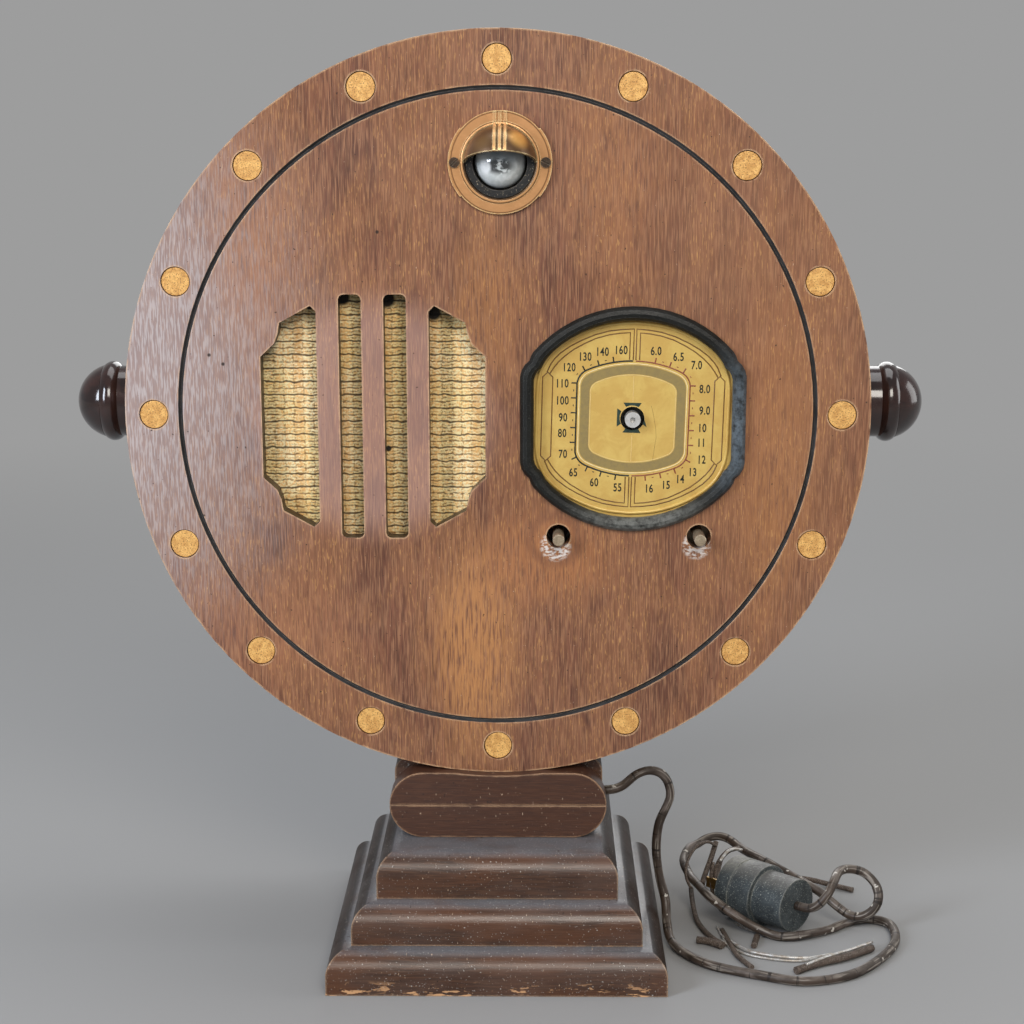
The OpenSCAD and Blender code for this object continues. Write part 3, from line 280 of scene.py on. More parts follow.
# Sweeps a round section along a path; u runs along the tube in metres, v goes round it once.
def sweep(name, path, radius, sides):
    bm = bmesh.new()
    uv = bm.loops.layers.uv.new("along")
    rings, runs, side, run = [], [], None, 0.0
    for i, point in enumerate(path):
        heading = (path[min(i + 1, len(path) - 1)] - path[max(i - 1, 0)]).normalized()
        if side is None:
            side = heading.orthogonal()
        side = (side - heading * side.dot(heading)).normalized()
        across = heading.cross(side)
        run += (point - path[i - 1]).length if i else 0.0
        size = radius(run) if callable(radius) else radius
        turns = [2 * math.pi * k / sides for k in range(sides)]
        rings.append([bm.verts.new(point + size * (math.cos(t) * side + math.sin(t) * across))
                      for t in turns])
        runs.append(run)
    for i in range(len(rings) - 1):
        for k in range(sides):
            n = (k + 1) % sides
            face = bm.faces.new((rings[i][k], rings[i][n], rings[i + 1][n], rings[i + 1][k]))
            for loop, (u, v) in zip(face.loops, ((runs[i], k), (runs[i], k + 1),
                                                 (runs[i + 1], k + 1), (runs[i + 1], k))):
                loop[uv].uv = (u, v / sides)
    bm.faces.new(list(reversed(rings[0])))
    bm.faces.new(rings[-1])
    mesh = bpy.data.meshes.new(name)
    bm.to_mesh(mesh)
    bm.free()
    for polygon in mesh.polygons:
        polygon.use_smooth = len(polygon.vertices) == 4
    return placed(name, mesh)


# %% the cord's tube
CORD_DIAMETER = 5.4 * MM
CORD_STEPS = 5
cord_path = smooth_path(CORD_ROUTE, CORD_STEPS)
cord_length = path_length(cord_path)
wander = random.Random(7)
BUMPS, BUMP_LONG, BUMP_DEEP = 70, (0.004, 0.012), (-0.05, 0.03)
THINNEST, USUAL, THICKEST = 0.92, 0.985, 1.02
bumps = [(wander.uniform(0, cord_length), wander.uniform(*BUMP_LONG), wander.uniform(*BUMP_DEEP))
         for _ in range(BUMPS)]


# The cord's radius so many metres along it, as a share of the nominal one.
def cord_radius(run):
    swell = sum(size * math.exp(-((run - at) / width) ** 2) for at, width, size in bumps)
    return CORD_DIAMETER / 2 * min(THICKEST, max(THINNEST, USUAL + swell))


# The free cord starts where it leaves the neck. What lies inside is a stretch of its own.
free_start = CORD_STEPS * len(CORD_INSIDE)
free_path = cord_path[free_start:]
free_length = path_length(free_path)
mains_cord = sweep("mains_cord", free_path, cord_radius, 16)
cord_inside = sweep("cord_inside", cord_path[:free_start + 1], cord_radius, 12)
print("cord", round(cord_length, 3), "m, free", round(free_length, 3), "m")

# %% [markdown]
# The floor is one pale sheet that curves up behind the set, like a paper roll
# in a studio. Seen by the camera it is an even light grey, and it still takes
# the set's shadow.

# %% floor and backdrop
# Seen from the side: flat on the ground, a quarter round of the bend's radius, then upright.
def studio_sweep(width, front, back, height, bend):
    profile = [(front, 0.0)]
    for k in range(13):
        a = math.radians(90 * k / 12)
        profile.append((back - bend + bend * math.sin(a), bend - bend * math.cos(a)))
    profile.append((back, height))
    bm = bmesh.new()
    edges = [[bm.verts.new((x, y, z)) for y, z in profile] for x in (-width / 2, width / 2)]
    for i in range(len(profile) - 1):
        face = bm.faces.new((edges[0][i], edges[1][i], edges[1][i + 1], edges[0][i + 1]))
        face.smooth = True
    mesh = bpy.data.meshes.new("studio_floor")
    bm.to_mesh(mesh)
    bm.free()
    return placed("studio_floor", mesh)


# Far from the set the paper fades to one even grey, which the camera and mirrors see alike.
PAPER, FAR_PAPER = "999999", "9d9d9d"
FADE_FROM, FADE_TO = 0.55, 2.2


def studio_paper():
    material, tree, shader = new_material("Studio paper", Roughness=0.9, Specular_IOR_Level=0.1)
    shader.inputs["Base Color"].default_value = colour(PAPER)
    place = add(tree, "TexCoord", out="Object")
    distance = add(tree, "VectorMath", {0: place}, "Value", operation="LENGTH")
    far = add(tree, "MapRange", {"Value": distance, "From Min": FADE_FROM, "From Max": FADE_TO},
              interpolation_type="SMOOTHSTEP")
    rays = [add(tree, "LightPath", out=ray) for ray in (
        "Is Camera Ray", "Is Glossy Ray", "Is Transmission Ray")]
    seen = add(tree, "Math", {0: rays[0], 1: rays[1]}, operation="MAXIMUM")
    seen = add(tree, "Math", {0: seen, 1: rays[2]}, operation="MAXIMUM")
    glow = add(tree, "Emission", {"Color": colour(FAR_PAPER), "Strength": 1.0})
    paper = add(tree, "MixShader", {0: add(tree, "Math", {0: far, 1: seen}, operation="MULTIPLY"),
                                    1: shader.outputs[0], 2: glow})
    tree.links.new(paper, tree.nodes["Material Output"].inputs["Surface"])
    return material


floor = studio_sweep(width=14.0, front=-6.0, back=6.0, height=6.0, bend=2.0)
floor.data.materials.append(studio_paper())

SKY_TINT, SKY_STRENGTH = "d9dde2", 0.36
world = bpy.data.worlds.new("studio")
scene.world = world
world.use_nodes = True
sky = world.node_tree.nodes["Background"]
sky.inputs["Color"].default_value = colour(SKY_TINT)
sky.inputs["Strength"].default_value = SKY_STRENGTH
print("floor faces", len(floor.data.polygons))

# %% [markdown]
# The light is soft and comes from five large panels: a warm one in front and
# above, a cooler one at the left that gives the wood its sheen, one overhead, a
# weak one at the right, and one behind for the rims.

# %% lights
def softbox(name, at, towards, size, power, tint):
    light = bpy.data.lights.new(name, "AREA")
    light.shape = "RECTANGLE"
    light.size, light.size_y = size
    light.energy = power
    light.color = colour(tint)[:3]
    lamp = placed(name, light)
    aim = Vector(towards) - Vector(at)
    lamp.matrix_world = Matrix.Translation(at) @ aim.to_track_quat("-Z", "Y").to_matrix().to_4x4()


# Where each panel stands and what it looks at, its width and height in metres,
# its power in watts and its tint.
softbox("front_light", (0.3, -2.1, 1.6), (0, 0, 0.27), (1.2, 0.9), 34, "fff8ee")
softbox("left_light", (-1.55, -1.35, 1.05), (0, 0, 0.27), (0.6, 1.1), 32, "eaf2ff")
softbox("top_light", (0.1, 0.3, 2.1), (0, 0, 0.2), (1.6, 1.2), 13, "ffffff")
softbox("right_light", (1.8, 0.2, 0.8), (0, 0, 0.25), (0.8, 1.2), 8, "ffffff")
softbox("back_light", (0.3, 2.0, 1.2), (0, 0, 0.3), (1.4, 1.2), 12, "ffffff")

# %% [markdown]
# Wood is built up as a polisher does it: a ground stain, large clouds and flames
# in the figure, fine fibres, pale streaks and dark pores. Stain gathers in the
# pores, so on the front the streaks are about half a millimetre wide and a
# centimetre or more long. Over the wood come later marks, then rubbed edges,
# scuffs and dings.

# %% stained and lacquered wood
# The grain's sizes are those of a streak along x, y and z in millimetres. The gloss is the
# lowest roughness, and the figure says how strongly dark and light stand out.
def lacquered_wood(name, ground, dark, light, worn, grain_mm=(0.55, 6.0, 13.0), gloss=0.32,
                   figure=1.0):
    material, tree, shader = new_material(name, Coat_Weight=0.3, Coat_Roughness=0.3,
                                          Specular_IOR_Level=0.4)
    a, b, c = grain_mm
    streaks = blotches(tree, grain_mm, 0.46, 0.6, 1.0, 0.5)
    pores = blotches(tree, (a * 0.9, b * 0.9, c * 0.9), 0.5, 0.62, 1.0, shift=(5, 2, 1))
    fibres = blotches(tree, (a * 3, b * 2, c * 3), 0.4, 0.6, 3.0, shift=(8, 5, 9))
    flames = blotches(tree, (a * 26, b * 6, c * 6), 0.35, 0.65, 3.0, 0.5, 0.8, shift=(1, 7, 3))
    clouds = blotches(tree, (70, 70, 90), 0.4, 0.62, 2.0, shift=(3, 1, 8))
    layers = ((dark, 0.22, clouds), (dark, 0.28, flames), (dark, 0.3, fibres),
              (light, 0.48, streaks), (dark, 0.6, pores))
    seen = coats(tree, ground, *((tint, figure * strength, mask) for tint, strength, mask in layers))
    height = coats(tree, "808080", ("202020", 1.0, pores))
    return material, tree, shader, seen, height, worn, gloss


# Puts later layers over the bare wood, then rubbed edges, scuffs and dings over them.
def settle_wood(made, *layers):
    material, tree, shader, seen, height, worn, gloss = made
    edges = on_edges(tree, 1.9, 0.02, 0.14)
    uneven = blotches(tree, (9, 9, 9), 0.38, 0.54, 5.0, shift=(9, 4, 2))
    scuffs = blotches(tree, (0.9, 5, 1.9), 0.71, 0.76, 2.0, shift=(6, 1, 4))
    dings = blotches(tree, (2.2, 5, 2.2), 0.735, 0.76, 1.0, shift=(2, 9, 9))
    seen = coats(tree, seen, *layers, (worn, 0.95, edges, uneven), ("dcc1a4", 0.7, scuffs),
                 ("2c1c15", 0.8, dings))
    haze = blotches(tree, (60, 60, 40), 0.35, 0.7, 3.0, shift=(2, 2, 5))
    surface(tree, shader, seen, (gloss, gloss + 0.16), [haze], height, 0.16, 0.7)
    return material


print("wood functions ready")

# %% [markdown]
# The front panel is walnut-stained plywood under old lacquer, and its grain runs
# straight up. Hands have rubbed the lacquer off under the dial and round the
# shafts, and there the wood shows orange. Each control shaft has the scar of its
# missing knob beside it. The left side carries a painted silvery sheen, a painted reflection of the
# light there.

# %% the front panel's wood
made = lacquered_wood("Walnut-stained plywood, lacquered", "82533d", "4c2d21", "b58662", "dcb68e")
tree = made[1]
fibres = blotches(tree, (0.9, 6, 12), 0.34, 0.58, 2.0, shift=(4, 4, 4))
silver = blotches(tree, (0.8, 6, 9), 0.45, 0.6, 2.0, shift=(6, 6, 2))
drift = blotches(tree, (26, 26, 60), 0.36, 0.6, 3.0, 0.6, 0.8, shift=(4, 6, 1))
dashes = blotches(tree, (0.7, 6, 5.0), 0.6, 0.68, 1.0, shift=(2, 5, 8))
smear = blotches(tree, (2.6, 6, 1.5), 0.42, 0.58, 4.0, shift=(1, 4, 3))
# Where the lacquer is rubbed off: middle, size, shape, colour and strength of each place.
RUBBED = [((-14, -128), 14, 66, (1.9, 1, 0.8), "c08650", 0.75),
          ((26, -78), 12, 50, (1, 1, 1.3), "b5784a", 0.6),
          ((-122, -118), 20, 60, (1, 1, 1.4), "b37a56", 0.35),
          ((-6, 58), 8, 52, (1.7, 1, 0.8), "a9713f", 0.5),
          ((-128, 96), 6, 60, (1.6, 1, 0.7), "b0774f", 0.45),
          ((60, 130), 6, 60, (1.2, 1, 0.7), "ab7246", 0.4),
          ((150, -40), 10, 70, (2.2, 1, 0.6), "ad7648", 0.5)]
places = [(tint, strength, round_place(tree, on_disc(x, 0, z), inner, outer, squeeze), fibres)
          for (x, z), inner, outer, squeeze, tint, strength in RUBBED]
# The ring that the left knob wore into the lacquer, and a scar beside each shaft.
halo, inner_halo = (round_place(tree, on_disc(31, 0, -68), *size) for size in ((13, 19), (9, 13)))
halo_ring = add(tree, "Math", {0: halo, 1: inner_halo}, operation="SUBTRACT")
crescent_left = round_place(tree, on_disc(31.5, 0, -71.6), 6.4, 9.4)
crescent_right = round_place(tree, on_disc(108.0, 0, -71.0), 6.0, 8.8)
# A painted sheen on the left side, the bars between the slots and the warmer right side.
painted_left_sheen = round_place(tree, on_disc(-214, 0, 30), 24, 146, (1, 1, 0.72))
bars = round_place(tree, on_disc(SPEAKER[0], 0, SPEAKER[1]), 48, 74)
warm_right = round_place(tree, on_disc(150, 0, 40), 10, 120, (1, 1, 0.5))
# Three pin holes, filled with dirt.
pin_holes = [("1d130f", 0.9, round_place(tree, on_disc(x, 0, z), 0.5, 1.3))
             for x, z in ((-153.8, 31.9), (-146.5, 27.1), (-63.1, 96.5))]
# The two lilac-grey layers on the left side are painted sheen; the silver mask breaks the paler one
# into streaks.
PANEL_WOOD = settle_wood(
    made, ("a5714a", 0.3, drift), ("a4714c", 0.3, warm_right), ("cf9a5e", 0.5, dashes, drift),
    ("a99a99", 0.7, painted_left_sheen), ("cfc9ca", 0.5, painted_left_sheen, silver), ("c5a196", 0.36, bars), *places,
    ("6d4635", 0.45, halo_ring), ("e6dfd8", 0.9, crescent_left, smear),
    ("ddd4cc", 0.85, crescent_right, smear), *pin_holes)

# The drum's grain runs front to back, and the bare boards' grain straight up.
DRUM_WOOD = settle_wood(lacquered_wood(
    "Bent plywood, stained", "6c4736", "4c3024", "83573f", "b08561", (6.0, 0.9, 14.0), 0.42))
PLAIN_WOOD = settle_wood(lacquered_wood(
    "Birch plywood, unfinished", "b59268", "93714b", "c9a97e", "cdb48c", (1.2, 6.0, 20.0), 0.62))
print("cabinet wood ready")

# %% [markdown]
# The pedestal is a darker chocolate brown, and its grain runs from side to side.
# Its tops have caught years of dust, and a bluish painted sheen lies on them with it. Its ends drank
# the stain, so they are nearly black and hardly shine. Its edges are rubbed pale, with a painted
# highlight along them, its corners are chipped down to bare wood, and the bottom edge has flaked where
# it was wet.

# %% pedestal wood
made = lacquered_wood("Walnut, dark-stained", "4a3022", "27180f", "65452f", "a98c71",
                      (16.0, 6.0, 1.1), 0.3, 0.65)
tree, shader = made[1:3]
tops_dust_and_sheen = dusty(tree, 0.72, 0.97)
sideways = add(tree, "Math", {0: facing(tree, "X")}, operation="ABSOLUTE")
endwise = add(tree, "MapRange", {"Value": sideways, "From Min": 0.1, "From Max": 0.5},
              interpolation_type="SMOOTHSTEP")
height = add(tree, "SeparateXYZ", {0: add(tree, "TexCoord", out="Object")}, "Z")
low_edge = add(tree, "MapRange", {"Value": height, "From Min": 9 * MM, "From Max": 2 * MM})
streaky = blotches(tree, (20, 20, 20), 0.05, 0.6, 4.0, shift=(1, 2, 3))
powder = blotches(tree, (0.8, 0.8, 0.8), 0.64, 0.71, 1.0, shift=(3, 3, 3))
grit = blotches(tree, (0.9, 0.9, 0.9), 0.7, 0.75, 1.0, shift=(6, 2, 9))
bloom = blotches(tree, (34, 30, 14), 0.38, 0.62, 3.0, shift=(8, 3, 1))
warm = blotches(tree, (60, 30, 14), 0.42, 0.62, 2.0, shift=(5, 5, 2))
edges = on_edges(tree, 1.5, 0.03, 0.14)
chipped = blotches(tree, (7, 7, 2.6), 0.55, 0.59, 4.0, shift=(2, 8, 8))
flaked = blotches(tree, (11, 6, 2.2), 0.56, 0.59, 4.0, 0.6, 0.4, shift=(7, 1, 5))
# On the tops the bluish grey is dust and painted sheen, and the pale specks are dust; the grey-beige
# layer on the edges is wear and painted highlight.
PEDESTAL_WOOD = settle_wood(made, ("5e3820", 0.5, warm), ("5c4a42", 0.25, bloom),
                            ("6f757c", 0.62, tops_dust_and_sheen, streaky), ("a9abad", 0.45, tops_dust_and_sheen, powder),
                            ("1b1512", 0.76, endwise), ("c6c2ba", 0.65, grit),
                            ("b3ab98", 0.5, edges), ("cf9f72", 0.95, low_edge, flaked),
                            ("c9a27c", 0.95, edges, chipped))
for socket, plain, on_ends in (("Specular IOR Level", 0.4, 0.1), ("Coat Weight", 0.3, 0.0)):
    shine = add(tree, "MapRange", {"Value": endwise, "To Min": plain, "To Max": on_ends})
    tree.links.new(shine, shader.inputs[socket])

made = lacquered_wood("Walnut, boss boards", "4a2b1a", "33201a", "62402d", "b89270",
                      (12.0, 6.0, 0.9), 0.4, 0.5)
tree = made[1]
rim = on_edges(tree, 1.2, 0.02, 0.12)
patchy = blotches(tree, (20, 20, 20), 0.3, 0.6, 3.0, shift=(1, 8, 2))
BOSS_WOOD = settle_wood(made, ("c19c7a", 0.9, rim, patchy))
print("pedestal wood ready")

# %% [markdown]
# Most of the other finishes are built alike: a ground colour, large soft
# blotches of a second colour, fine specks, paler or darker edges that are worn on most of them and
# painted shade or highlight on a few, and a roughness that changes from place to place. One function
# makes them, and each call says what the real material is and gives its own sizes.

# %% one function for cast, moulded, painted and plated finishes
# After the name come four colours: ground, second, specks and edges, which are worn edges on most
# finishes and a painted edge shadow or highlight on a few. Then how rough it is at its smoothest and
# dullest, how metallic, the size of its blotches and specks, how much of the noise is a speck, how far
# wear reaches and how strong it is, how deep the relief is, how much dust lies on it, and places of
# their own, with wear, dust or a painted highlight.
def aged(name, ground, second, specks, edge, rough=(0.3, 0.5), metallic=0.0, blotch_mm=(12, 12, 12),
         speck_mm=(0.7, 0.7, 0.7), speck_at=(0.66, 0.72), wear_mm=0.8, wear=0.8, depth_mm=0.03,
         dust=0.0, places=(), **sockets):
    material, tree, shader = new_material(name, Metallic=metallic, **sockets)
    patches = blotches(tree, blotch_mm, 0.35, 0.65, 4.0, 0.6, 0.5)
    dots = blotches(tree, speck_mm, *speck_at, 2.0, shift=(7, 3, 5))
    edges = on_edges(tree, wear_mm)
    uneven = blotches(tree, (3.4, 3.4, 3.4), 0.22, 0.66, 5.0, 0.7, shift=(3, 9, 1))
    layers = [(second, 0.8, patches), (specks, 0.8, dots)]
    for tint, strength, at, inner, outer, squeeze, broken in places:
        masks = [round_place(tree, at, inner, outer, squeeze)] + [uneven] * broken
        layers.append((tint, strength, *masks))
    layers.append((edge, wear, edges, uneven))
    if dust:
        layers.append(("98928a", dust, dusty(tree)))
    fine = blotches(tree, [2.5 * s for s in speck_mm], 0.2, 0.8, 5.0, shift=(1, 1, 6))
    surface(tree, shader, coats(tree, ground, *layers), rough, [patches, fine], fine, depth_mm)
    return material


# One place of wear, dust or painted highlight on such a finish: solid inside the inner size, gone
# outside the outer one.
def mark_or_highlight_place(tint, strength, at, inner, outer, squeeze=(1, 1, 1), broken=False):
    return tint, strength, at, inner, outer, squeeze, broken


# Gold bronze paint brushed over wooden plugs: soft sheen, orange where it is thin. The dark brown edge
# colour is a painted shadow of the gap round each plug.
GOLD_PAINT = aged("Gold bronze paint on wood", "f0bc6e", "c68f4b", "7a5230", "4c301a", (0.42, 0.62),
                  0.1, (3, 3, 3), (0.7, 0.7, 0.7), (0.55, 0.63), 0.9, 0.95, 0.14)
# The brown glaze that was run into the joint round each plug.
PLUG_GLAZE = aged("Brown glaze round the plugs", "5b3a20", "3d2717", "8a5f34", "a97b45",
                  blotch_mm=(3, 3, 3), wear_mm=0.4, wear=0.5)
# Black crackle enamel on a die-cast frame: worn to grey metal on its ridges, most of
# all at the right and below, where hands reach for the knobs; this broken bluish grey is also a painted
# highlight.
BEZEL_WEAR_AND_HIGHLIGHT = (
    mark_or_highlight_place("6c7882", 0.75, on_disc(DIAL[0] + 60, 0, DIAL[1] - 4), 2, 34, (1, 0, 0.6), True),
    mark_or_highlight_place("7a7b76", 0.75, on_disc(DIAL[0] + 8, 0, DIAL[1] - 57), 6, 42, (0.7, 0, 1.8), True))
BEZEL_BLACK = aged("Black enamel on cast metal", "131311", "1b1c19", "54534c", "7e8285", (0.36, 0.6),
                   0.0, (9, 9, 9), (0.5, 0.5, 0.5), (0.64, 0.71), 0.9, 0.75, 0.08,
                   Specular_IOR_Level=0.28, places=BEZEL_WEAR_AND_HIGHLIGHT)
# Antique brass: stamped sheet, browned in a bath and buffed bright on the edges. Two dark
# rings run round it. The hood keeps a dark patina, worn through to bright metal at its right.
EYE_RINGS = (("6b4829", 0.75, 25.9, 26.2), ("cb9562", 1.0, 25.2, 25.5),
             ("6b4829", 0.75, 20.9, 21.2), ("d9a26a", 1.0, 20.3, 20.6))
EYE_PLACES = [mark_or_highlight_place(tint, strength, on_disc(EYE[0], 0, EYE[1]), inner, outer, (1, 0, 1))
              for tint, strength, inner, outer in EYE_RINGS]
EYE_PLACES += [mark_or_highlight_place("4a3727", 0.9, on_disc(EYE[0], -1.6, EYE[1]), 19.35, 19.95),
               mark_or_highlight_place("f3b765", 0.85, on_disc(EYE[0] + 10, -12.4, EYE[1] + 12.5), 2, 8),
               mark_or_highlight_place("86663f", 0.6, on_disc(EYE[0] - 9, -14, EYE[1] + 10), 1, 7)]
ANTIQUE_BRASS = aged("Antique brass, stamped", "d9a26a", "bd8552", "7a5232", "ffe6ac", (0.3, 0.46),
                     0.4, (6, 6, 6), (0.5, 0.5, 0.5), (0.6, 0.68), 1.2, 1.0, 0.03,
                     places=EYE_PLACES)
# Phenolic moulding, turned smooth: nearly black, deep gloss, brown where light gets in.
BAKELITE = aged("Phenolic moulding, dark brown", "231715", "38201a", "4d3a34", "5a4a44", (0.12, 0.3),
                0.0, (14, 14, 14), (0.4, 0.4, 0.4), (0.7, 0.76), 0.5, 0.4, 0.01,
                Coat_Weight=0.6, Coat_Roughness=0.08)
# Slotted steel screws with a brown oxide: dull, rust in the pits.
SCREW_STEEL = aged("Oxidised steel", "53463b", "3b3129", "6f4429", "b5aa98", (0.4, 0.6), 0.8,
                   (3, 3, 3), (0.4, 0.4, 0.4), (0.6, 0.66), 0.4, 0.7, 0.03)
# Drawn and ground shaft steel, gone brassy and brown with age.
SHAFT_STEEL = aged("Ground shaft steel, tarnished", "bfae94", "93826c", "5a4838", "e2d8c4",
                   (0.3, 0.5), 0.5, (3, 3, 3), (0.3, 0.8, 0.3), (0.6, 0.68), 0.4, 0.8, 0.02)
# White metal spindle: bright, with a few dark pits.
SPINDLE_METAL = aged("Nickel-plated brass", "e6e5e2", "c9c6c0", "7c756b", "f4f2ee", (0.2, 0.34), 0.5,
                     (3, 3, 3), (0.3, 0.3, 0.3), (0.68, 0.74), 0.3, 0.7, 0.01)
# Cadmium-plated sheet steel: grey with a straw cast and white bloom.
PLATED_STEEL = aged("Cadmium-plated sheet steel", "8f8e86", "77746a", "6a4a35", "b5b3aa",
                    (0.32, 0.5), 0.85, (22, 22, 22), (1, 1, 1), (0.66, 0.74), 0.6, 0.6, 0.03, 0.35)
# Rolled aluminium plates: pale, fine rolling lines.
ALUMINIUM = aged("Rolled aluminium sheet", "b9bbbc", "a3a5a6", "85827c", "d6d8d9", (0.28, 0.42), 0.9,
                 (9, 9, 9), (0.3, 4, 0.3), (0.6, 0.7), 0.3, 0.5, 0.01)
# Yellow brass, turned: bushings and plug blades.
BRASS = aged("Turned brass, dulled", "a98a52", "86693c", "5b4428", "d9bf86", (0.25, 0.45), 0.9,
             (6, 6, 6), (0.4, 0.4, 0.4), (0.62, 0.7), 0.4, 0.8, 0.02)
# Punched phenolic paper sheet: red-brown, half matt, with paper fibres.
PHENOLIC = aged("Phenolic paper sheet", "5a3423", "472718", "7d5238", "84583c", (0.4, 0.55), 0.0,
                (8, 8, 8), (0.3, 0.3, 1.5), (0.6, 0.7), 0.5, 0.5, 0.02)
# Glazed ceramic rods: white with a grey crackle.
CERAMIC = aged("Glazed steatite", "cfccc2", "bdb9ad", "8f8a7e", "dedbd2", (0.15, 0.3), 0.0,
               (4, 4, 4), (0.4, 0.4, 0.4), (0.66, 0.72), 0.3, 0.4, 0.01)
# Drawn aluminium cans: satin, with dents and finger marks.
CAN_METAL = aged("Drawn aluminium can", "a9aaa8", "8f8f8b", "6f6b64", "c9cac8", (0.3, 0.48), 0.9,
                 (12, 12, 25), (0.5, 0.5, 3), (0.6, 0.7), 0.5, 0.6, 0.02, 0.3)
# Stacked transformer iron under black lacquer, rusty along the edges.
CORE_IRON = aged("Lacquered core iron", "2b2a28", "3a342f", "6b4630", "7a5a42", (0.45, 0.62), 0.3,
                 (9, 9, 0.7), (0.8, 0.8, 0.4), (0.6, 0.68), 0.6, 0.7, 0.06, 0.4)
# Cotton tape round the field coil, soaked with brown varnish.
COIL_TAPE = aged("Varnished cotton tape", "6b4a2e", "563a24", "84603c", "8f6c46", (0.45, 0.6), 0.0,
                 (4, 1.2, 4), (0.5, 0.25, 0.5), (0.5, 0.62), 0.5, 0.5, 0.1)
# Felted paper of the speaker cone: grey, matt, fibrous.
CONE_PAPER = aged("Felted cone paper", "4c4942", "3d3a35", "6b665b", "6f6a5f", (0.8, 0.92), 0.0,
                  (12, 12, 12), (0.3, 0.3, 0.3), (0.5, 0.62), 0.5, 0.4, 0.08)
# Grey-green stove paint on the speaker's basket and yoke.
SPEAKER_PAINT = aged("Stove enamel, grey", "5b5f5b", "4c504d", "7d6a52", "8f918c", (0.38, 0.55), 0.1,
                     (16, 16, 16), (0.6, 0.6, 0.6), (0.66, 0.72), 0.7, 0.6, 0.04, 0.35)
# Getter-blackened tube plates of nickelled iron.
TUBE_METAL = aged("Carbonised nickel plate", "3a3a3b", "2b2b2c", "59595a", "7d7d7e", (0.4, 0.55), 0.6,
                  (5, 5, 5), (0.4, 0.4, 0.4), (0.6, 0.7), 0.4, 0.6, 0.02)
# Plug rubber: moulded, hardened with age, grey with dust in its pits.
PLUG_RUBBER = aged("Moulded rubber, aged", "434a4d", "2d3336", "a9ada4", "a3a398", (0.42, 0.66), 0.0,
                   (8, 8, 8), (1.6, 0.6, 0.6), (0.6, 0.7), 1.8, 0.6, 0.12, 0.3,
                   places=[mark_or_highlight_place("a2a294", 0.55, metres(141, 22, 36), 3, 16, broken=True)])
# Rubber sleeve round the tuning eye: black, perished, rubbed grey on its rim.
SLEEVE_RUBBER = aged("Sleeve rubber, perished", "080808", "100f0f", "b5a58b", "8a8073", (0.5, 0.7), 0.0,
                     (4, 4, 4), (0.9, 0.9, 0.9), (0.62, 0.68), 0.7, 0.7, 0.08)
print("materials", len(bpy.data.materials))

# %% [markdown]
# The cord's rubber has gone hard. It is cracked across every few millimetres,
# brown in the cracks and silvery where it has been rubbed. The pattern follows
# the cord because it reads the tube's own UV map, which runs in metres.

# %% old rubber of the cord
def cord_rubber():
    material, tree, shader = new_material("Perished cord rubber", Specular_IOR_Level=0.45)

    # Noise that runs along the tube: so many spots to the metre, and so many round it.
    def along(spots, round_it, low, high, detail, shift=(0, 0, 0)):
        run = add(tree, "Mapping", {"Vector": add(tree, "UVMap", uv_map="along"),
                                    "Scale": (spots, round_it, 1.0), "Location": shift})
        noise = add(tree, "TexNoise", {"Vector": run, "Scale": 1.0, "Detail": detail}, "Fac")
        return add(tree, "MapRange", {"Value": noise, "From Min": low, "From Max": high})

    cracks = along(420.0, 0.8, 0.6, 0.68, 2.0)
    rubbed = along(70.0, 3.0, 0.52, 0.68, 5.0, (3, 1, 0))
    stretched = along(45.0, 9.0, 0.54, 0.62, 3.0, (7, 5, 0))
    grime = blotches(tree, (26, 26, 26), 0.35, 0.65, 3.0)
    silver = blotches(tree, (5, 5, 5), 0.67, 0.71, 2.0, shift=(3, 6, 2))
    dusted = blotches(tree, (9, 9, 9), 0.3, 0.7, 3.0, shift=(4, 2, 2))
    seen = coats(tree, "4a3d34", ("2c231c", 0.75, grime), ("7b7069", 0.55, rubbed),
                 ("a59d93", 0.6, stretched), ("8d857c", 0.3, dusty(tree, 0.2, 1.0), dusted),
                 ("1c140f", 0.9, cracks), ("d5d0c6", 0.85, silver))
    height = coats(tree, "909090", ("202020", 1.0, cracks))
    surface(tree, shader, seen, (0.36, 0.62), [grime], height, 0.35)
    return material


CORD_RUBBER = cord_rubber()
mains_cord.data.materials.append(CORD_RUBBER)
cord_inside.data.materials.append(CORD_RUBBER)

# %% [markdown]
# The CAD pieces have perfectly sharp edges, and real ones never do. So a copy
# of each visible CAD piece is merged, its flats are joined into whole faces,
# and its sharp edges get a small round. The copy then stands for the CAD node.
# All these pieces are fixed to the cabinet. The ones that turn are drawn or
# turned metal, and keep their CAD shapes.

# %% take over a CAD node with softened edges
def rides_for(piece, slot, *nodes):
    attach(piece, "cabinet")
    if nodes:
        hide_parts(*nodes)
    return piece


def only(piece):
    bpy.ops.object.select_all(action="DESELECT")
    piece.select_set(True)
    bpy.context.view_layer.objects.active = piece


# Vertices closer than this are one, and faces that turn by less than this are one flat.
SAME_PLACE, SAME_FLAT = 0.00001, math.radians(0.6)


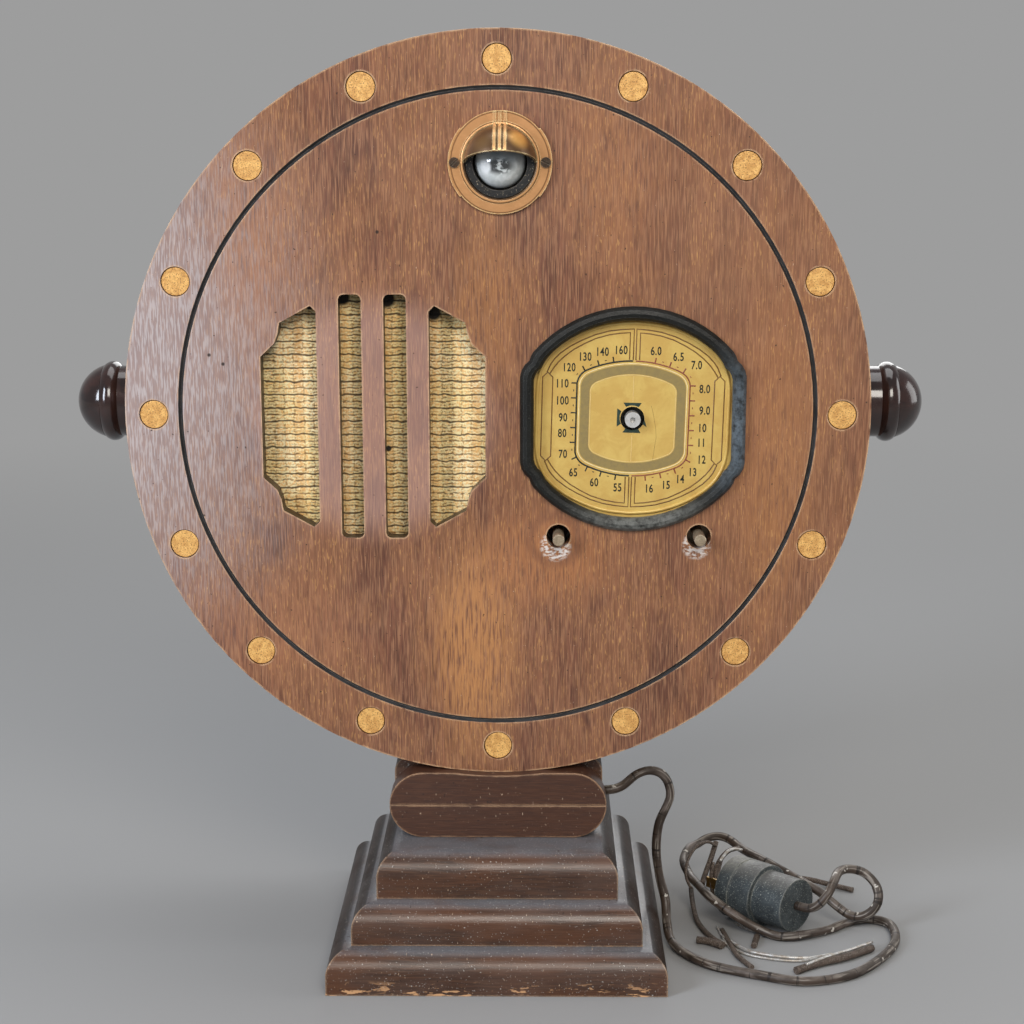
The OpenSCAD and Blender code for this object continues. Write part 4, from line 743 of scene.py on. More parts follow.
def softened(node, name, slot, material, round_mm=0.4, segments=2, smooth=35, sharp=30):
    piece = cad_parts[node].copy()
    piece.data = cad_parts[node].data.copy()
    piece.name = name
    scene.collection.objects.link(piece)
    piece.parent = None
    piece.matrix_world = Matrix()
    only(piece)
    bpy.ops.object.mode_set(mode="EDIT")
    bpy.ops.mesh.select_all(action="SELECT")
    bpy.ops.mesh.customdata_custom_splitnormals_clear()
    bpy.ops.mesh.remove_doubles(threshold=SAME_PLACE)
    bpy.ops.mesh.dissolve_limited(angle_limit=SAME_FLAT)
    bpy.ops.object.mode_set(mode="OBJECT")
    if round_mm:
        rounding = piece.modifiers.new("round", "BEVEL")
        rounding.width = round_mm * MM
        rounding.segments = segments
        rounding.limit_method = "ANGLE"
        rounding.angle_limit = math.radians(sharp)
        bpy.ops.object.modifier_apply(modifier="round")
    bpy.ops.object.shade_smooth_by_angle(angle=math.radians(smooth))
    steady = piece.modifiers.new("steady", "WEIGHTED_NORMAL")
    steady.keep_sharp = True
    bpy.ops.object.modifier_apply(modifier="steady")
    piece.data.materials.clear()
    piece.data.materials.append(material)
    return rides_for(piece, slot, node)


front_panel = softened("front_panel", "panel", "cabinet_wood", PANEL_WOOD, 0.5)
print("panel", len(front_panel.data.polygons), "faces")

# %% [markdown]
# The ring groove in the panel is painted black, and its pale edges are worn paint and a painted
# highlight. The sawn walls of the speaker slots are stained dark, a colour that also stands for painted
# shade in the slots. Both are found by where their faces lie: by their distance from the disc's middle,
# by their depth and by which way they face.

# %% black paint in the groove, dark stain and painted shade in the slots
# Matt black paint in a turned groove: dusty, with bare spots. Its pale edges are also a painted
# highlight where light catches the groove's wall.
GROOVE_BLACK = aged("Black paint in the groove", "313132", "414142", "5f4b3f", "a39a92", (0.28, 0.45),
                    speck_mm=(0.8, 0.8, 0.8), speck_at=(0.66, 0.72), wear_mm=0.5, wear=0.7)
# Dark stain on the sawn walls of the slots: thin, and its dark colour is also painted shade inside the
# slots. It is worn pale where the cloth was pushed in, and these pale edges are also a painted
# highlight.
SLOT_STAIN_AND_SHADE = aged("Dark stain and painted shade on sawn plywood", "3b2a22", "2a1c16", "6b4c38", "d3c9bf", (0.35, 0.5),
                  speck_mm=(0.8, 0.8, 0.8), wear_mm=0.9, wear=0.95, depth_mm=0.1)
GROOVE_IN, GROOVE_OUT, GROOVE_DEPTH = 168.4, 172.0, 8
GRILLE_HALF_WIDE, GRILLE_HALF_HIGH, PANEL_THICK = 62, 70, 12.5
front_panel.data.materials.append(GROOVE_BLACK)
front_panel.data.materials.append(SLOT_STAIN_AND_SHADE)
painted = 0
for face in front_panel.data.polygons:
    spot = face.center / MM - DISC
    if GROOVE_IN < math.hypot(spot.x, spot.z) < GROOVE_OUT and 0.5 < spot.y < GROOVE_DEPTH:
        face.material_index = 1
        painted += 1
    in_grille = abs(spot.x - SPEAKER[0]) < GRILLE_HALF_WIDE and abs(spot.z) < GRILLE_HALF_HIGH
    if in_grille and 0.3 < spot.y < PANEL_THICK and abs(face.normal.y) < 0.5:
        face.material_index = 2
print("groove faces", painted)

# %% [markdown]
# The wooden pieces: drum, plugs, pedestal, boss and neck. The plugs are wood
# too, with gold bronze paint on their faces and brown glaze round their sides.
# The two grips at the drum's sides are turned from phenolic moulding.

# %% cabinet and pedestal
softened("drum_shell", "drum", "cabinet_wood", DRUM_WOOD, 0.5)
plugs = softened("rim_plugs", "plugs", "gold_paint", GOLD_PAINT, 0.8, 3)
plugs.data.materials.append(PLUG_GLAZE)
for face in plugs.data.polygons:
    if abs(face.normal.y) < 0.8:
        face.material_index = 1
for which in ("bottom", "middle", "top"):
    softened("base_tier_" + which, "tier_" + which, "pedestal_wood", PEDESTAL_WOOD, 0.6)
for which in ("lower", "upper"):
    softened("front_boss_" + which, "boss_" + which, "pedestal_wood", BOSS_WOOD, 0.7)
softened("neck_block", "neck", "pedestal_wood", PEDESTAL_WOOD, 0.6)
for side in ("left", "right"):
    softened("side_knob_" + side, "grip_" + side, "bakelite", BAKELITE, 0.3)
print("plug faces", len(plugs.data.polygons))

# %% [markdown]
# The grille cloth is one flat piece stretched over the baffle. It is woven from
# thick gold cords that lie across, with dark threads between them, and finer
# threads that run up and down in bands. The grid is fine enough to carry the
# cords as real waves, and the threads are in the material. Beside each slot's sides lie
# bands of painted shade and painted shadow, the slots' upper ends hold black painted shadow, and one
# small black spot lies lower down.

# %% grille cloth: sizes in millimetres, and the middle and radius of each black spot
CLOTH_LOW, CLOTH_HIGH = (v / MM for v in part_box("grille_cloth"))
CLOTH_SIZE = (CLOTH_HIGH.x - CLOTH_LOW.x, CLOTH_HIGH.z - CLOTH_LOW.z)
CORD_PITCH, BAND_PITCH, SLOT_PITCH, THREAD_PITCH = 3.6, 10.7, 24.0, 0.9
# Black spots: the first four are painted shadow under the slots' upper ends, the last a small spot
# lower down.
BLACK_SPOTS = ((-83.2, 61.5, 5), (-59.4, 60.6, 5.5), (-34.4, 53.4, 5), (-101, 57.4, 3), (-59.6, -20, 2))
CLOTH_BEHIND = 14


def cloth_weave():
    material, tree, shader = new_material("Woven rayon and cotton", Sheen_Weight=0.25,
                                          Sheen_Roughness=0.4)
    place = add(tree, "TexCoord", out="Object")
    # The hand of the loom: each thread strays by a millimetre or so.
    jitter = add(tree, "TexNoise", {"Vector": place, "Scale": 190.0, "Detail": 2.0}, "Color")
    shaken = add(tree, "VectorMath", {0: place, 1: add(tree, "VectorMath", {
        0: jitter, 1: (0.0024, 0.0, 0.0030)}, operation="MULTIPLY")}, operation="ADD")
    x, _, z = (add(tree, "SeparateXYZ", {0: shaken}, axis) for axis in "XYZ")

    # A wave across or along the cloth: one at peak_mm and every pitch_mm from it, else nothing.
    def wave(source, pitch_mm, peak_mm, low, high):
        turn = add(tree, "Math", {0: source, 1: 2 * math.pi / (pitch_mm * MM),
                                  2: -2 * math.pi * peak_mm / pitch_mm}, operation="MULTIPLY_ADD")
        level = add(tree, "Math", {0: turn}, operation="COSINE")
        return add(tree, "MapRange", {"Value": level, "From Min": low, "From Max": high},
                   interpolation_type="SMOOTHSTEP")

    gaps = wave(z, CORD_PITCH * 2, 1.0, 0.86, 0.97)
    thin_gaps = wave(z, CORD_PITCH * 2, 1.0 + CORD_PITCH, 0.88, 0.99)
    bands = wave(x, BAND_PITCH, -98.5, -0.1, 0.9)
    # Painted shade: a darker band at each slot's right side, with more dark lines in it.
    slot_shade_bands = wave(x, SLOT_PITCH, -98.0, 0.35, 0.95)
    # Painted shadow: an orange-brown band at each slot's left side.
    slot_shadow_bands = wave(x, SLOT_PITCH, -106.5, 0.55, 1.0)
    threads = wave(x, THREAD_PITCH, 0.0, -0.9, 0.9)
    fine_gaps = wave(z, CORD_PITCH / 2, 1.0, 0.2, 0.8)
    broken = blotches(tree, (2.2, 4, 0.9), 0.36, 0.5, 3.0, shift=(1, 3, 2))
    # The black spots are painted: shadow under the slots' upper ends, and one small spot lower down.
    black_spots = [("0d0a08", 0.98, round_place(tree, on_disc(x, CLOTH_BEHIND, z), size * 0.6, size,
                                         (1, 0, 1))) for x, z, size in BLACK_SPOTS]
    hooks = wave(x, BAND_PITCH / 2, -98.5, 0.8, 0.98)
    mottled = blotches(tree, (1.1, 4, 1.0), 0.4, 0.62, 3.0, shift=(5, 2, 7))
    faded = blotches(tree, (24, 24, 30), 0.35, 0.65, 3.0, shift=(6, 1, 1))
    seen = coats(tree, "ffe8a8", ("fff4d0", 0.6, faded), ("f3ad4f", 0.62, mottled),
                 ("d69a50", 0.5, slot_shadow_bands, broken), ("8f7f4c", 0.34, slot_shade_bands, broken),
                 ("a87a40", 0.3, threads, fine_gaps), ("54391c", 0.5, hooks, mottled),
                 ("5a3c1c", 0.72, thin_gaps, broken), ("46361e", 0.75, fine_gaps, slot_shade_bands, mottled),
                 ("6b4a24", 0.35, fine_gaps, bands, broken), ("35240f", 0.84, gaps), *black_spots)
    height = coats(tree, "a0a0a0", ("707070", 1.0, threads), ("101010", 1.0, gaps),
                   ("404040", 1.0, thin_gaps))
    surface(tree, shader, seen, (0.6, 0.8), [broken], height, 0.45)
    return material


print("cloth", CLOTH_SIZE, "mm")

# %% the cloth's grid, with its cords as low waves
CORD_SWELL, CORD_PHASE, CLOTH_LIFT = 0.12, 0.8, 0.3
bpy.ops.object.select_all(action="DESELECT")
bpy.ops.mesh.primitive_grid_add(
    x_subdivisions=60, y_subdivisions=300, size=1.0,
    location=metres((CLOTH_LOW.x + CLOTH_HIGH.x) / 2, CLOTH_LOW.y + CLOTH_LIFT,
                    (CLOTH_LOW.z + CLOTH_HIGH.z) / 2),
    rotation=(math.radians(90), 0, 0))
cloth = bpy.context.object
cloth.name = "grille_weave"
cloth.scale = (CLOTH_SIZE[0] * MM, CLOTH_SIZE[1] * MM, 1)
bpy.ops.object.transform_apply(location=True, rotation=True, scale=True)
for vertex in cloth.data.vertices:
    swell = 0.5 - 0.5 * math.cos(2 * math.pi * vertex.co.z / (CORD_PITCH * MM) + CORD_PHASE)
    vertex.co.y -= CORD_SWELL * MM * swell
bpy.ops.object.shade_smooth()
cloth.data.materials.append(cloth_weave())
rides_for(cloth, "grille_fabric", "grille_cloth")
print("cloth", len(cloth.data.polygons), "faces")

# %% [markdown]
# The dial is a sheet of brass-coloured metal behind a black cast frame. The
# frame keeps its CAD shape, and everything that is printed on the plate is thin
# raised ink: lines that are swept along flat paths, and plain numbers.

# %% dial frame and plate
softened("dial_bezel", "bezel", "bezel_black", BEZEL_BLACK, 0.0, smooth=24)
# Gold-lacquered sheet metal: smooth, clouded with old varnish.
DIAL_GOLD = aged("Gold-lacquered sheet metal", "dcbb68", "cca455", "a87a3c", "f8dfa5", (0.28, 0.44),
                 0.12, (12, 12, 12), (0.7, 0.7, 0.7), (0.68, 0.8), 0.6, 0.8, 0.02,
                 Coat_Weight=0.2, Coat_Roughness=0.2)
softened("dial_scale", "dial_plate", "dial_gold", DIAL_GOLD, 0.15)
PRINT_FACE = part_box("dial_scale")[0].y / MM
PRINT_TURN = math.radians(-1.4)
PRINT_MIDDLE = (DIAL[0], DISC.z + DIAL[1])


def ink(name, ground, second):
    return aged(name, ground, second, second, ground, (0.35, 0.5), speck_mm=(0.3, 0.3, 0.3),
                blotch_mm=(2, 2, 2), wear=0.1, depth_mm=0.005)


# Printing inks and enamel on metal: slightly raised, faded where the sun reached them.
INK_BLACK = ink("Black printing ink", "171b14", "2b2d20")
INK_BROWN = ink("Brown printing ink", "6e4c24", "86622f")
INK_RED = ink("Red printing ink", "7e3a2b", "9a5a3c")
INK_CREAM = ink("Cream enamel", "f1dca6", "e6c986")
INK_OLIVE = ink("Olive translucent lacquer", "96824f", "8a784d")
INK_PALE = ink("Pale varnish line", "e9cf8d", "dfbf78")
print("plate face at y =", PRINT_FACE)


# %% ways to print a line, a shape and a number
# The print sits a little askew on its plate, so places on it are turned.
def on_print(x, z, lift=0.0):
    c, s = math.cos(PRINT_TURN), math.sin(PRINT_TURN)
    return metres(PRINT_MIDDLE[0] + x * c - z * s, PRINT_FACE - lift, PRINT_MIDDLE[1] + x * s + z * c)


def flattened(name, material):
    piece = bpy.context.object
    piece.name = name
    bpy.ops.object.convert(target="MESH")
    bpy.ops.object.transform_apply(location=True, rotation=True, scale=True)
    piece.data.materials.clear()
    piece.data.materials.append(material)
    return piece


def printed_line(name, points, wide_mm, material, closed=False, lift=0.02, high=0.12):
    strip = bpy.data.curves.new(name, "CURVE")
    strip.dimensions = "3D"
    strip.bevel_depth = wide_mm / 2 * MM
    strip.bevel_resolution = 1
    spline = strip.splines.new("POLY")
    spline.points.add(len(points) - 1)
    for knot, (x, z) in zip(spline.points, points):
        knot.co = (*on_print(x, z, 0.0), 1.0)
    spline.use_cyclic_u = closed
    strip.use_fill_caps = True
    piece = placed(name, strip)
    only(piece)
    flattened(name, material)
    face = PRINT_FACE * MM
    for vertex in piece.data.vertices:
        vertex.co.y = face - lift * MM + (vertex.co.y - face) * high / (wide_mm / 2)
    return piece


def thickened(piece, thick_mm=0.06):
    only(piece)
    thick = piece.modifiers.new("thick", "SOLIDIFY")
    thick.thickness = thick_mm * MM
    thick.offset = 0.0
    bpy.ops.object.modifier_apply(modifier="thick")
    return piece


# All print lies on the dial plate, so its pieces are joined into one and fixed to the cabinet.
def joined(name, pieces):
    bpy.ops.object.select_all(action="DESELECT")
    for piece in pieces:
        piece.select_set(True)
    bpy.context.view_layer.objects.active = pieces[0]
    bpy.ops.object.join()
    pieces[0].name = name
    return rides_for(pieces[0], "dial_gold")


# A cushion outline: arcs above and below, nearly straight sides, round corners.
def cushion_line(half_x, half_z, rise, corner, steps=14):
    arc_r = ((half_x - corner * 0.4) ** 2 + rise ** 2) / (2 * rise)
    side = half_z - rise
    quarter = []
    for k in range(steps + 1):
        x = (half_x - corner) * k / steps
        quarter.append((x, half_z - (arc_r - math.sqrt(arc_r * arc_r - x * x))))
    start = quarter[-1]
    end = (half_x, side - corner * 0.9)
    knee = (half_x - corner * 0.12, start[1] - corner * 0.33)
    for k in range(1, 9):
        t = k / 8
        quarter.append(tuple((1 - t) ** 2 * s + 2 * t * (1 - t) * m + t * t * e
                             for s, m, e in zip(start, knee, end)))
    full = quarter + [(x, -z) for x, z in reversed(quarter)]
    return full + [(-x, z) for x, z in reversed(full)]


RING_TOP, RING_GAP = 31.0, 0.7
ring = cushion_line(30.3, RING_TOP, 6.6, 6.5)
print("ring outline points", len(ring))

# %% [markdown]
# The ring that the pointer swept over is black on the left half and red on the
# right. Short ticks and dots stand outside it. Inside it lie a cream line, an
# olive lacquer band and a pale inner frame.

# %% ring, cream line and olive band
# One half of the ring from top to bottom: the left half has the sign -1.
def half_ring(sign):
    half = [(x, z) for x, z in ring if x * sign > RING_GAP]
    return sorted(half, key=lambda p: -math.atan2(p[1], abs(p[0])))


left_ring, right_ring = half_ring(-1), half_ring(1)
rings = [printed_line(name, [(sign * RING_GAP, RING_TOP)] + half + [(sign * RING_GAP, -RING_TOP)],
                      wide, tint)
         for name, sign, half, wide, tint in (("ring_left", -1, left_ring, 1.0, INK_BLACK),
                                              ("ring_right", 1, right_ring, 0.8, INK_RED))]
rings.append(printed_line("cream", cushion_line(28.9, 29.5, 6.3, 6.2), 0.7, INK_CREAM, True))


def band_between(name, outer, inner, material, lift):
    mesh = bpy.data.meshes.new(name)
    n = len(outer)
    mesh.from_pydata([on_print(x, z, lift) for x, z in outer + inner], [],
                     [(i, (i + 1) % n, n + (i + 1) % n, n + i) for i in range(n)])
    piece = thickened(placed(name, mesh))
    bpy.ops.object.mode_set(mode="EDIT")
    bpy.ops.mesh.select_all(action="SELECT")
    bpy.ops.mesh.normals_make_consistent(inside=False)
    bpy.ops.object.mode_set(mode="OBJECT")
    piece.data.materials.append(material)
    return piece


rings.append(band_between("olive", cushion_line(28.2, 28.8, 6.2, 6.0),
                          cushion_line(23.4, 24.0, 5.4, 4.2), INK_OLIVE, 0.03))
rings.append(printed_line("inner_frame", cushion_line(22.9, 23.5, 5.3, 4.0), 0.4, INK_PALE, True))
rings += [printed_line("inner_line_" + str(side), [(0, side * 23), (0, side * 9)], 0.35, INK_PALE)
          for side in (-1, 1)]
printed_ring = joined("print_ring", rings)
print("ring faces", len(printed_ring.data.polygons))

# %% [markdown]
# The number fields are framed with double brown lines. Halfway down each side
# the lines open into a long field with pointed ends. On the real dial a word
# stands there; here the fields stay bare.

# %% frames
OUTER_FRAME = [(0.7, 31.6), (0.7, 48.0), (7, 47.6), (14, 46.6), (21.5, 44.4), (28.5, 41.3),
               (34.5, 38.0), (39.5, 34.4), (42.6, 31.2), (44.6, 28.4), (46.6, 23.9)]
INNER_FRAME = [(2.7, 31.6), (2.7, 46.0), (8, 45.6), (14, 44.6), (21, 42.5), (27, 39.6),
               (32.6, 36.4), (37.2, 32.8), (40.6, 29.5), (43, 26.4), (45, 23.2)]
FIELD = [(46.1, 23.9), (43.4, 21.3), (43.4, -21.3), (46.1, -23.9), (48.8, -21.3), (48.8, 21.3)]
LINE_WIDE = 0.78
frames = []
for side in (-1, 1):
    for flip in (-1, 1):
        for corners in (OUTER_FRAME, INNER_FRAME):
            frames.append(printed_line("frame", [(side * x, flip * z) for x, z in corners],
                                       LINE_WIDE, INK_BROWN))
    frames.append(printed_line("field", [(side * x, z) for x, z in FIELD],
                               LINE_WIDE, INK_BROWN, True))
printed_frames = joined("print_frames", frames)
print("frame faces", len(printed_frames.data.polygons))

# %% [markdown]
# The plate's rim is rolled over into a low bead. A quarter of its line is drawn
# and mirrored twice.

# %% rolled rim of the plate
RIM = [(0, 51.4), (15, 49.8), (30, 44.4), (42, 36.6), (48.2, 28.5), (51.2, 18), (51.4, 0)]
quarter = [tuple(p)[::2] for p in smooth_path([Vector((x, 0, z)) for x, z in RIM], 5)]
right_half = quarter + [(x, -z) for x, z in reversed(quarter[:-1])]
rim_line = right_half + [(-x, z) for x, z in reversed(right_half[1:-1])]
rides_for(printed_line("plate_rim", rim_line, 2.2, DIAL_GOLD, True, 0.0, 0.9), "dial_gold")
print("rim points", len(rim_line))

# %% [markdown]
# The numbers are plain figures in a narrow sans face, thickened a little as old
# printing ink is. Each was measured where it stands on the set.

# %% numbers
NUMBER_HIGH, NUMBER_NARROW, NUMBER_SPACED = 6.2, 0.7, 1.12
INK_DEEP, INK_SPREAD = 0.05, 0.13
NUMBERS = {"160": (-6.5, 36.6), "140": (-16.5, 35.7), "130": (-25.7, 33.1), "120": (-34.2, 27.4),
           "110": (-37.9, 18.8), "100": (-37.8, 9.6), "90": (-37.3, 0.5), "80": (-37.7, -8.0),
           "70": (-37.3, -19.3), "65": (-31.6, -29.4), "60": (-20.3, -34.8), "55": (-7.6, -37.6),
           "6.0": (12.2, 36.1), "6.5": (24.3, 33.0), "7.0": (34.0, 28.6), "8.0": (38.6, 15.8),
           "9.0": (38.8, 4.2), "10": (37.6, -5.2), "11": (37.3, -13.2), "12": (37.6, -22.4),
           "13": (32.9, -29.2), "14": (26.2, -33.0), "15": (18.6, -36.2), "16": (9.4, -38.2)}
figures = []
for words, (x, z) in NUMBERS.items():
    bpy.ops.object.text_add(location=metres(PRINT_MIDDLE[0] + x, PRINT_FACE, PRINT_MIDDLE[1] + z),
                            rotation=(math.radians(90), 0, 0))
    number = bpy.context.object.data
    number.body = words
    number.align_x = number.align_y = "CENTER"
    number.size = NUMBER_HIGH * MM
    number.space_character = NUMBER_SPACED
    number.extrude = INK_DEEP * MM
    number.offset = INK_SPREAD * MM
    bpy.context.object.scale = (NUMBER_NARROW, 1.0, 1.0)
    figures.append(flattened("number_" + words, INK_BLACK))
joined("print_numbers", figures)
print("numbers", len(NUMBERS))

# %% ticks and dots outside the ring, turn about
TICKS_A_SIDE, FIRST_TICK, LAST_TICK = 23, 0.09, 0.94
TICK_SPAN, TICK_WIDE = (0.2, 3.0), 0.85
DOT_SPAN, DOT_WIDE = (1.5, 1.9), 1.15


# Places along a line of points, evenly spaced, each with the line's direction there.
def walk(points, count, first, last):
    runs = [0.0]
    for a, b in zip(points, points[1:]):
        runs.append(runs[-1] + math.dist(a, b))
    for k in range(count):
        at = runs[-1] * (first + (last - first) * k / (count - 1))
        i = max(j for j in range(len(points) - 1) if runs[j] <= at)
        t = (at - runs[i]) / max(runs[i + 1] - runs[i], 1e-9)
        a, b = points[i], points[i + 1]
        along = ((b[0] - a[0]), (b[1] - a[1]))
        size = math.hypot(*along)
        yield a[0] + t * along[0], a[1] + t * along[1], along[0] / size, along[1] / size


ticks = []
for points, tint, sign in ((left_ring, INK_BLACK, -1), (right_ring, INK_RED, 1)):
    for k, (x, z, ax, az) in enumerate(walk(points, TICKS_A_SIDE, FIRST_TICK, LAST_TICK)):
        out_x, out_z = (az, -ax) if sign < 0 else (-az, ax)
        if out_x * x + out_z * z < 0:
            out_x, out_z = -out_x, -out_z
        span, wide = (DOT_SPAN, DOT_WIDE) if k % 2 else (TICK_SPAN, TICK_WIDE)
        ticks.append(printed_line("tick", [(x + out_x * far, z + out_z * far) for far in span],
                                  wide, tint))
print("ticks and dots", len(ticks))
joined("print_ticks", ticks)

# %% [markdown]
# Round the hub the plate carries four dark green marks: the sides of a small
# square, each cut hollow by the hub hole. A hair crack runs down beside the hub.

# %% hub marks and crack
HUB_AT = (-0.2, 0.5)
HUB_RING, MARK_HALF, MARK_TOP = 6.7, 4.9, 8.1
INK_GREEN = ink("Dark green enamel", "23352d", "2f4439")
marks = []
for turn in range(4):
    bend = [(math.sin(math.radians(a)) * HUB_RING, math.cos(math.radians(a)) * HUB_RING)
            for a in range(-30, 31, 6)]
    outline = [(-MARK_HALF, MARK_TOP)] + bend + [(MARK_HALF, MARK_TOP)]
    if turn == 1:
        outline = [(x, z) for x, z in outline if x > 0.5]
    c, s = math.cos(turn * math.pi / 2), math.sin(turn * math.pi / 2)
    mesh = bpy.data.meshes.new("mark")
    spots = [on_print(HUB_AT[0] + x * c + z * s, HUB_AT[1] - x * s + z * c, 0.04) for x, z in outline]
    mesh.from_pydata(spots, [], [list(range(len(spots)))])
    mesh.materials.append(INK_GREEN)
    marks.append(thickened(placed("mark", mesh)))
print("hub marks", len(marks))
joined("print_hub_marks", marks)
CRACK = [(10.0, 7.2), (11.4, 2.0), (12.8, -5.0), (13.2, -10.0), (12.4, -16.0), (11.6, -24.0),
         (12.6, -30.0)]
rides_for(printed_line("plate_crack", CRACK, 0.16, INK_BROWN, lift=0.005, high=0.05), "dial_gold")

# %% [markdown]
# The tuning eye looks out under a stamped brass hood, and a black rubber sleeve
# grips its glass. The glass is silvered by its own getter, with a ragged dark
# target showing through the middle, the hood's painted shade above and a painted highlight at its upper
# left.

# %% tuning eye
softened("eye_escutcheon", "eye_hood", "antique_brass", ANTIQUE_BRASS, 0.0, smooth=40)
softened("eye_screws", "hood_screws", "steel_screws", SCREW_STEEL, 0.12)
softened("eye_sleeve", "eye_gasket", "plug_rubber", SLEEVE_RUBBER, 0.4)
EYE_GLASS, tree, shader = new_material("Eye glass over a dark target", Coat_Weight=1.0,
                                       Coat_Roughness=0.03, Specular_IOR_Level=0.7)
dark_rim = round_place(tree, on_disc(EYE[0], -1, EYE[1]), 14.0, 12.8)
blob = round_place(tree, on_disc(EYE[0] - 0.5, -5, EYE[1] - 1.6), 2.6, 6.4, (0.6, 1, 1.1))
ragged = blotches(tree, (4, 4, 2.4), 0.34, 0.5, 4.0, 0.6, 0.6)
shade = round_place(tree, on_disc(EYE[0] + 2, -3, EYE[1] + 7), 4.0, 11.0, (0.6, 1, 1.3))
# A painted highlight of a window at the glass's upper left.
painted_gleam = round_place(tree, on_disc(EYE[0] - 7.4, -3, EYE[1] - 2.0), 2.2, 4.2, (1, 1, 0.9))
smudge = blotches(tree, (3, 3, 3), 0.4, 0.62, 4.0, shift=(2, 2, 2))
surface(tree, shader, coats(tree, "d0d6d5", ("eef1f1", 0.6, smudge), ("70828e", 0.7, shade),
                            ("14181a", 0.95, blob, ragged), ("f6f9fa", 0.9, painted_gleam),
                            ("2a2e2f", 0.8, dark_rim)),
        (0.05, 0.16), [smudge], smudge, 0.01)


def dress(node, material):
    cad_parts[node].material_slots[0].material = material


dress("eye_tube", EYE_GLASS)
print("eye dressed")

# %% [markdown]
# Shafts, spindle and everything inside keep their CAD shapes, because these are
# turned, drawn or folded metal whose edges are crisp. They get their finishes,
# and the larger ones also get softened edges.

# %% metal and moulded pieces
SIMPLE = (
    (SHAFT_STEEL, ("volume_shaft", "tuning_shaft")), (SPINDLE_METAL, ("spindle",)),
    (PLATED_STEEL, ("drive_disc", "gang_frame")), (ALUMINIUM, ("rotor_plates", "stator_plates")),
    (CERAMIC, ("stator_rods",)), (BRASS, ("tuning_bushing",)), (TUBE_METAL, ("tube_plates",)),
    (PHENOLIC, ("volume_control", "tube_sockets")), (BAKELITE, ("tube_bases", "eye_base")),
    (CONE_PAPER, ("speaker_cone",)), (SPEAKER_PAINT, ("speaker_basket",)),
    (SCREW_STEEL, ("base_screws", "neck_screws", "side_knob_screws", "baffle_screws",
                   "speaker_bolts", "chassis_bolts")))
for material, nodes in SIMPLE:
    for node in nodes:
        dress(node, material)
# Each finish with its slot, and its nodes with the width of their rounded edges.
SOFTENED = (
    (PLATED_STEEL, "plated_steel", (("chassis", 0.5), ("dial_pan", 0.2), ("gang_stand", 0.3),
                                    ("front_bracket", 0.3), ("eye_bracket", 0.2))),
    (CORE_IRON, "core_iron", (("power_transformer", 0.8), ("output_transformer", 0.6))),
    (SPEAKER_PAINT, "speaker_paint", (("speaker_yoke", 0.8),)),
    (COIL_TAPE, "coil_winding", (("field_coil", 1.2),)),
    (CAN_METAL, "can_metal", (("coil_cans", 2.0), ("filter_can", 1.0))),
    (PLAIN_WOOD, "plain_wood", (("chassis_shelf", 0.5), ("baffle_board", 0.4), ("glue_blocks", 0.8))),
    (BRASS, "bushing_brass", (("plug_blades", 0.3),)))
for material, slot, nodes in SOFTENED:
    for node, round_mm in nodes:
        softened(node, node + "_finished", slot, material, round_mm, 3 if round_mm > 1 else 2)
softened("eye_cable", "eye_lead", "cord_rubber", PLUG_RUBBER, 0.0, smooth=60)
print("finishes on CAD pieces", len(SIMPLE), "on softened pieces", len(SOFTENED))

# %% [markdown]
# The tubes are clear glass over dark plates. The glass lets light through, and
# a brown getter stain lies inside its top.

# %% tube glass
STAIN_LOW, STAIN_HIGH = 288 * MM, 300 * MM
TUBE_GLASS, tree, shader = new_material("Blown tube glass", Roughness=0.04, Transmission_Weight=0.9,
                                        IOR=1.5)
height = add(tree, "SeparateXYZ", {0: add(tree, "TexCoord", out="Object")}, "Z")
stain = add(tree, "MapRange", {"Value": height, "From Min": STAIN_LOW, "From Max": STAIN_HIGH})
tree.links.new(coats(tree, "e9edec", ("6b675f", 1.0, stain)), shader.inputs["Base Color"])
dress("tube_glass", TUBE_GLASS)
print("tubes dressed")

# %% [markdown]
# The plug is moulded in two steps, with a shallow groove round its wide part and
# well-rounded edges. The cord meets its narrow end.

# %% plug
plug = softened("plug_body", "mains_plug", "plug_rubber", PLUG_RUBBER, 2.4, 5)
print("plug faces", len(plug.data.polygons))

# %% [markdown]
# Where the cord was pulled about, its insulation has torn. Thin bare wires and
# stiff torn threads lie round the plug, and some stand up beside its wide end.

# %% frayed wires beside the plug
# Tinned copper strands: dull silver, brown where the tin is gone.
STRANDS = aged("Tinned copper strand", "cccdcb", "9d9080", "6b4c34", "e4e2dd", (0.3, 0.5), 0.5,
               (3, 3, 3), (0.4, 0.4, 0.4), (0.55, 0.65), 0.2, 0.5, 0.01)
FRAYED = aged("Torn rubber and braid", "57493f", "3a2e26", "8e8479", "a09588", (0.6, 0.8), 0.0,
              (4, 4, 4), (0.5, 0.5, 0.5), (0.55, 0.65), 0.3, 0.6, 0.05)
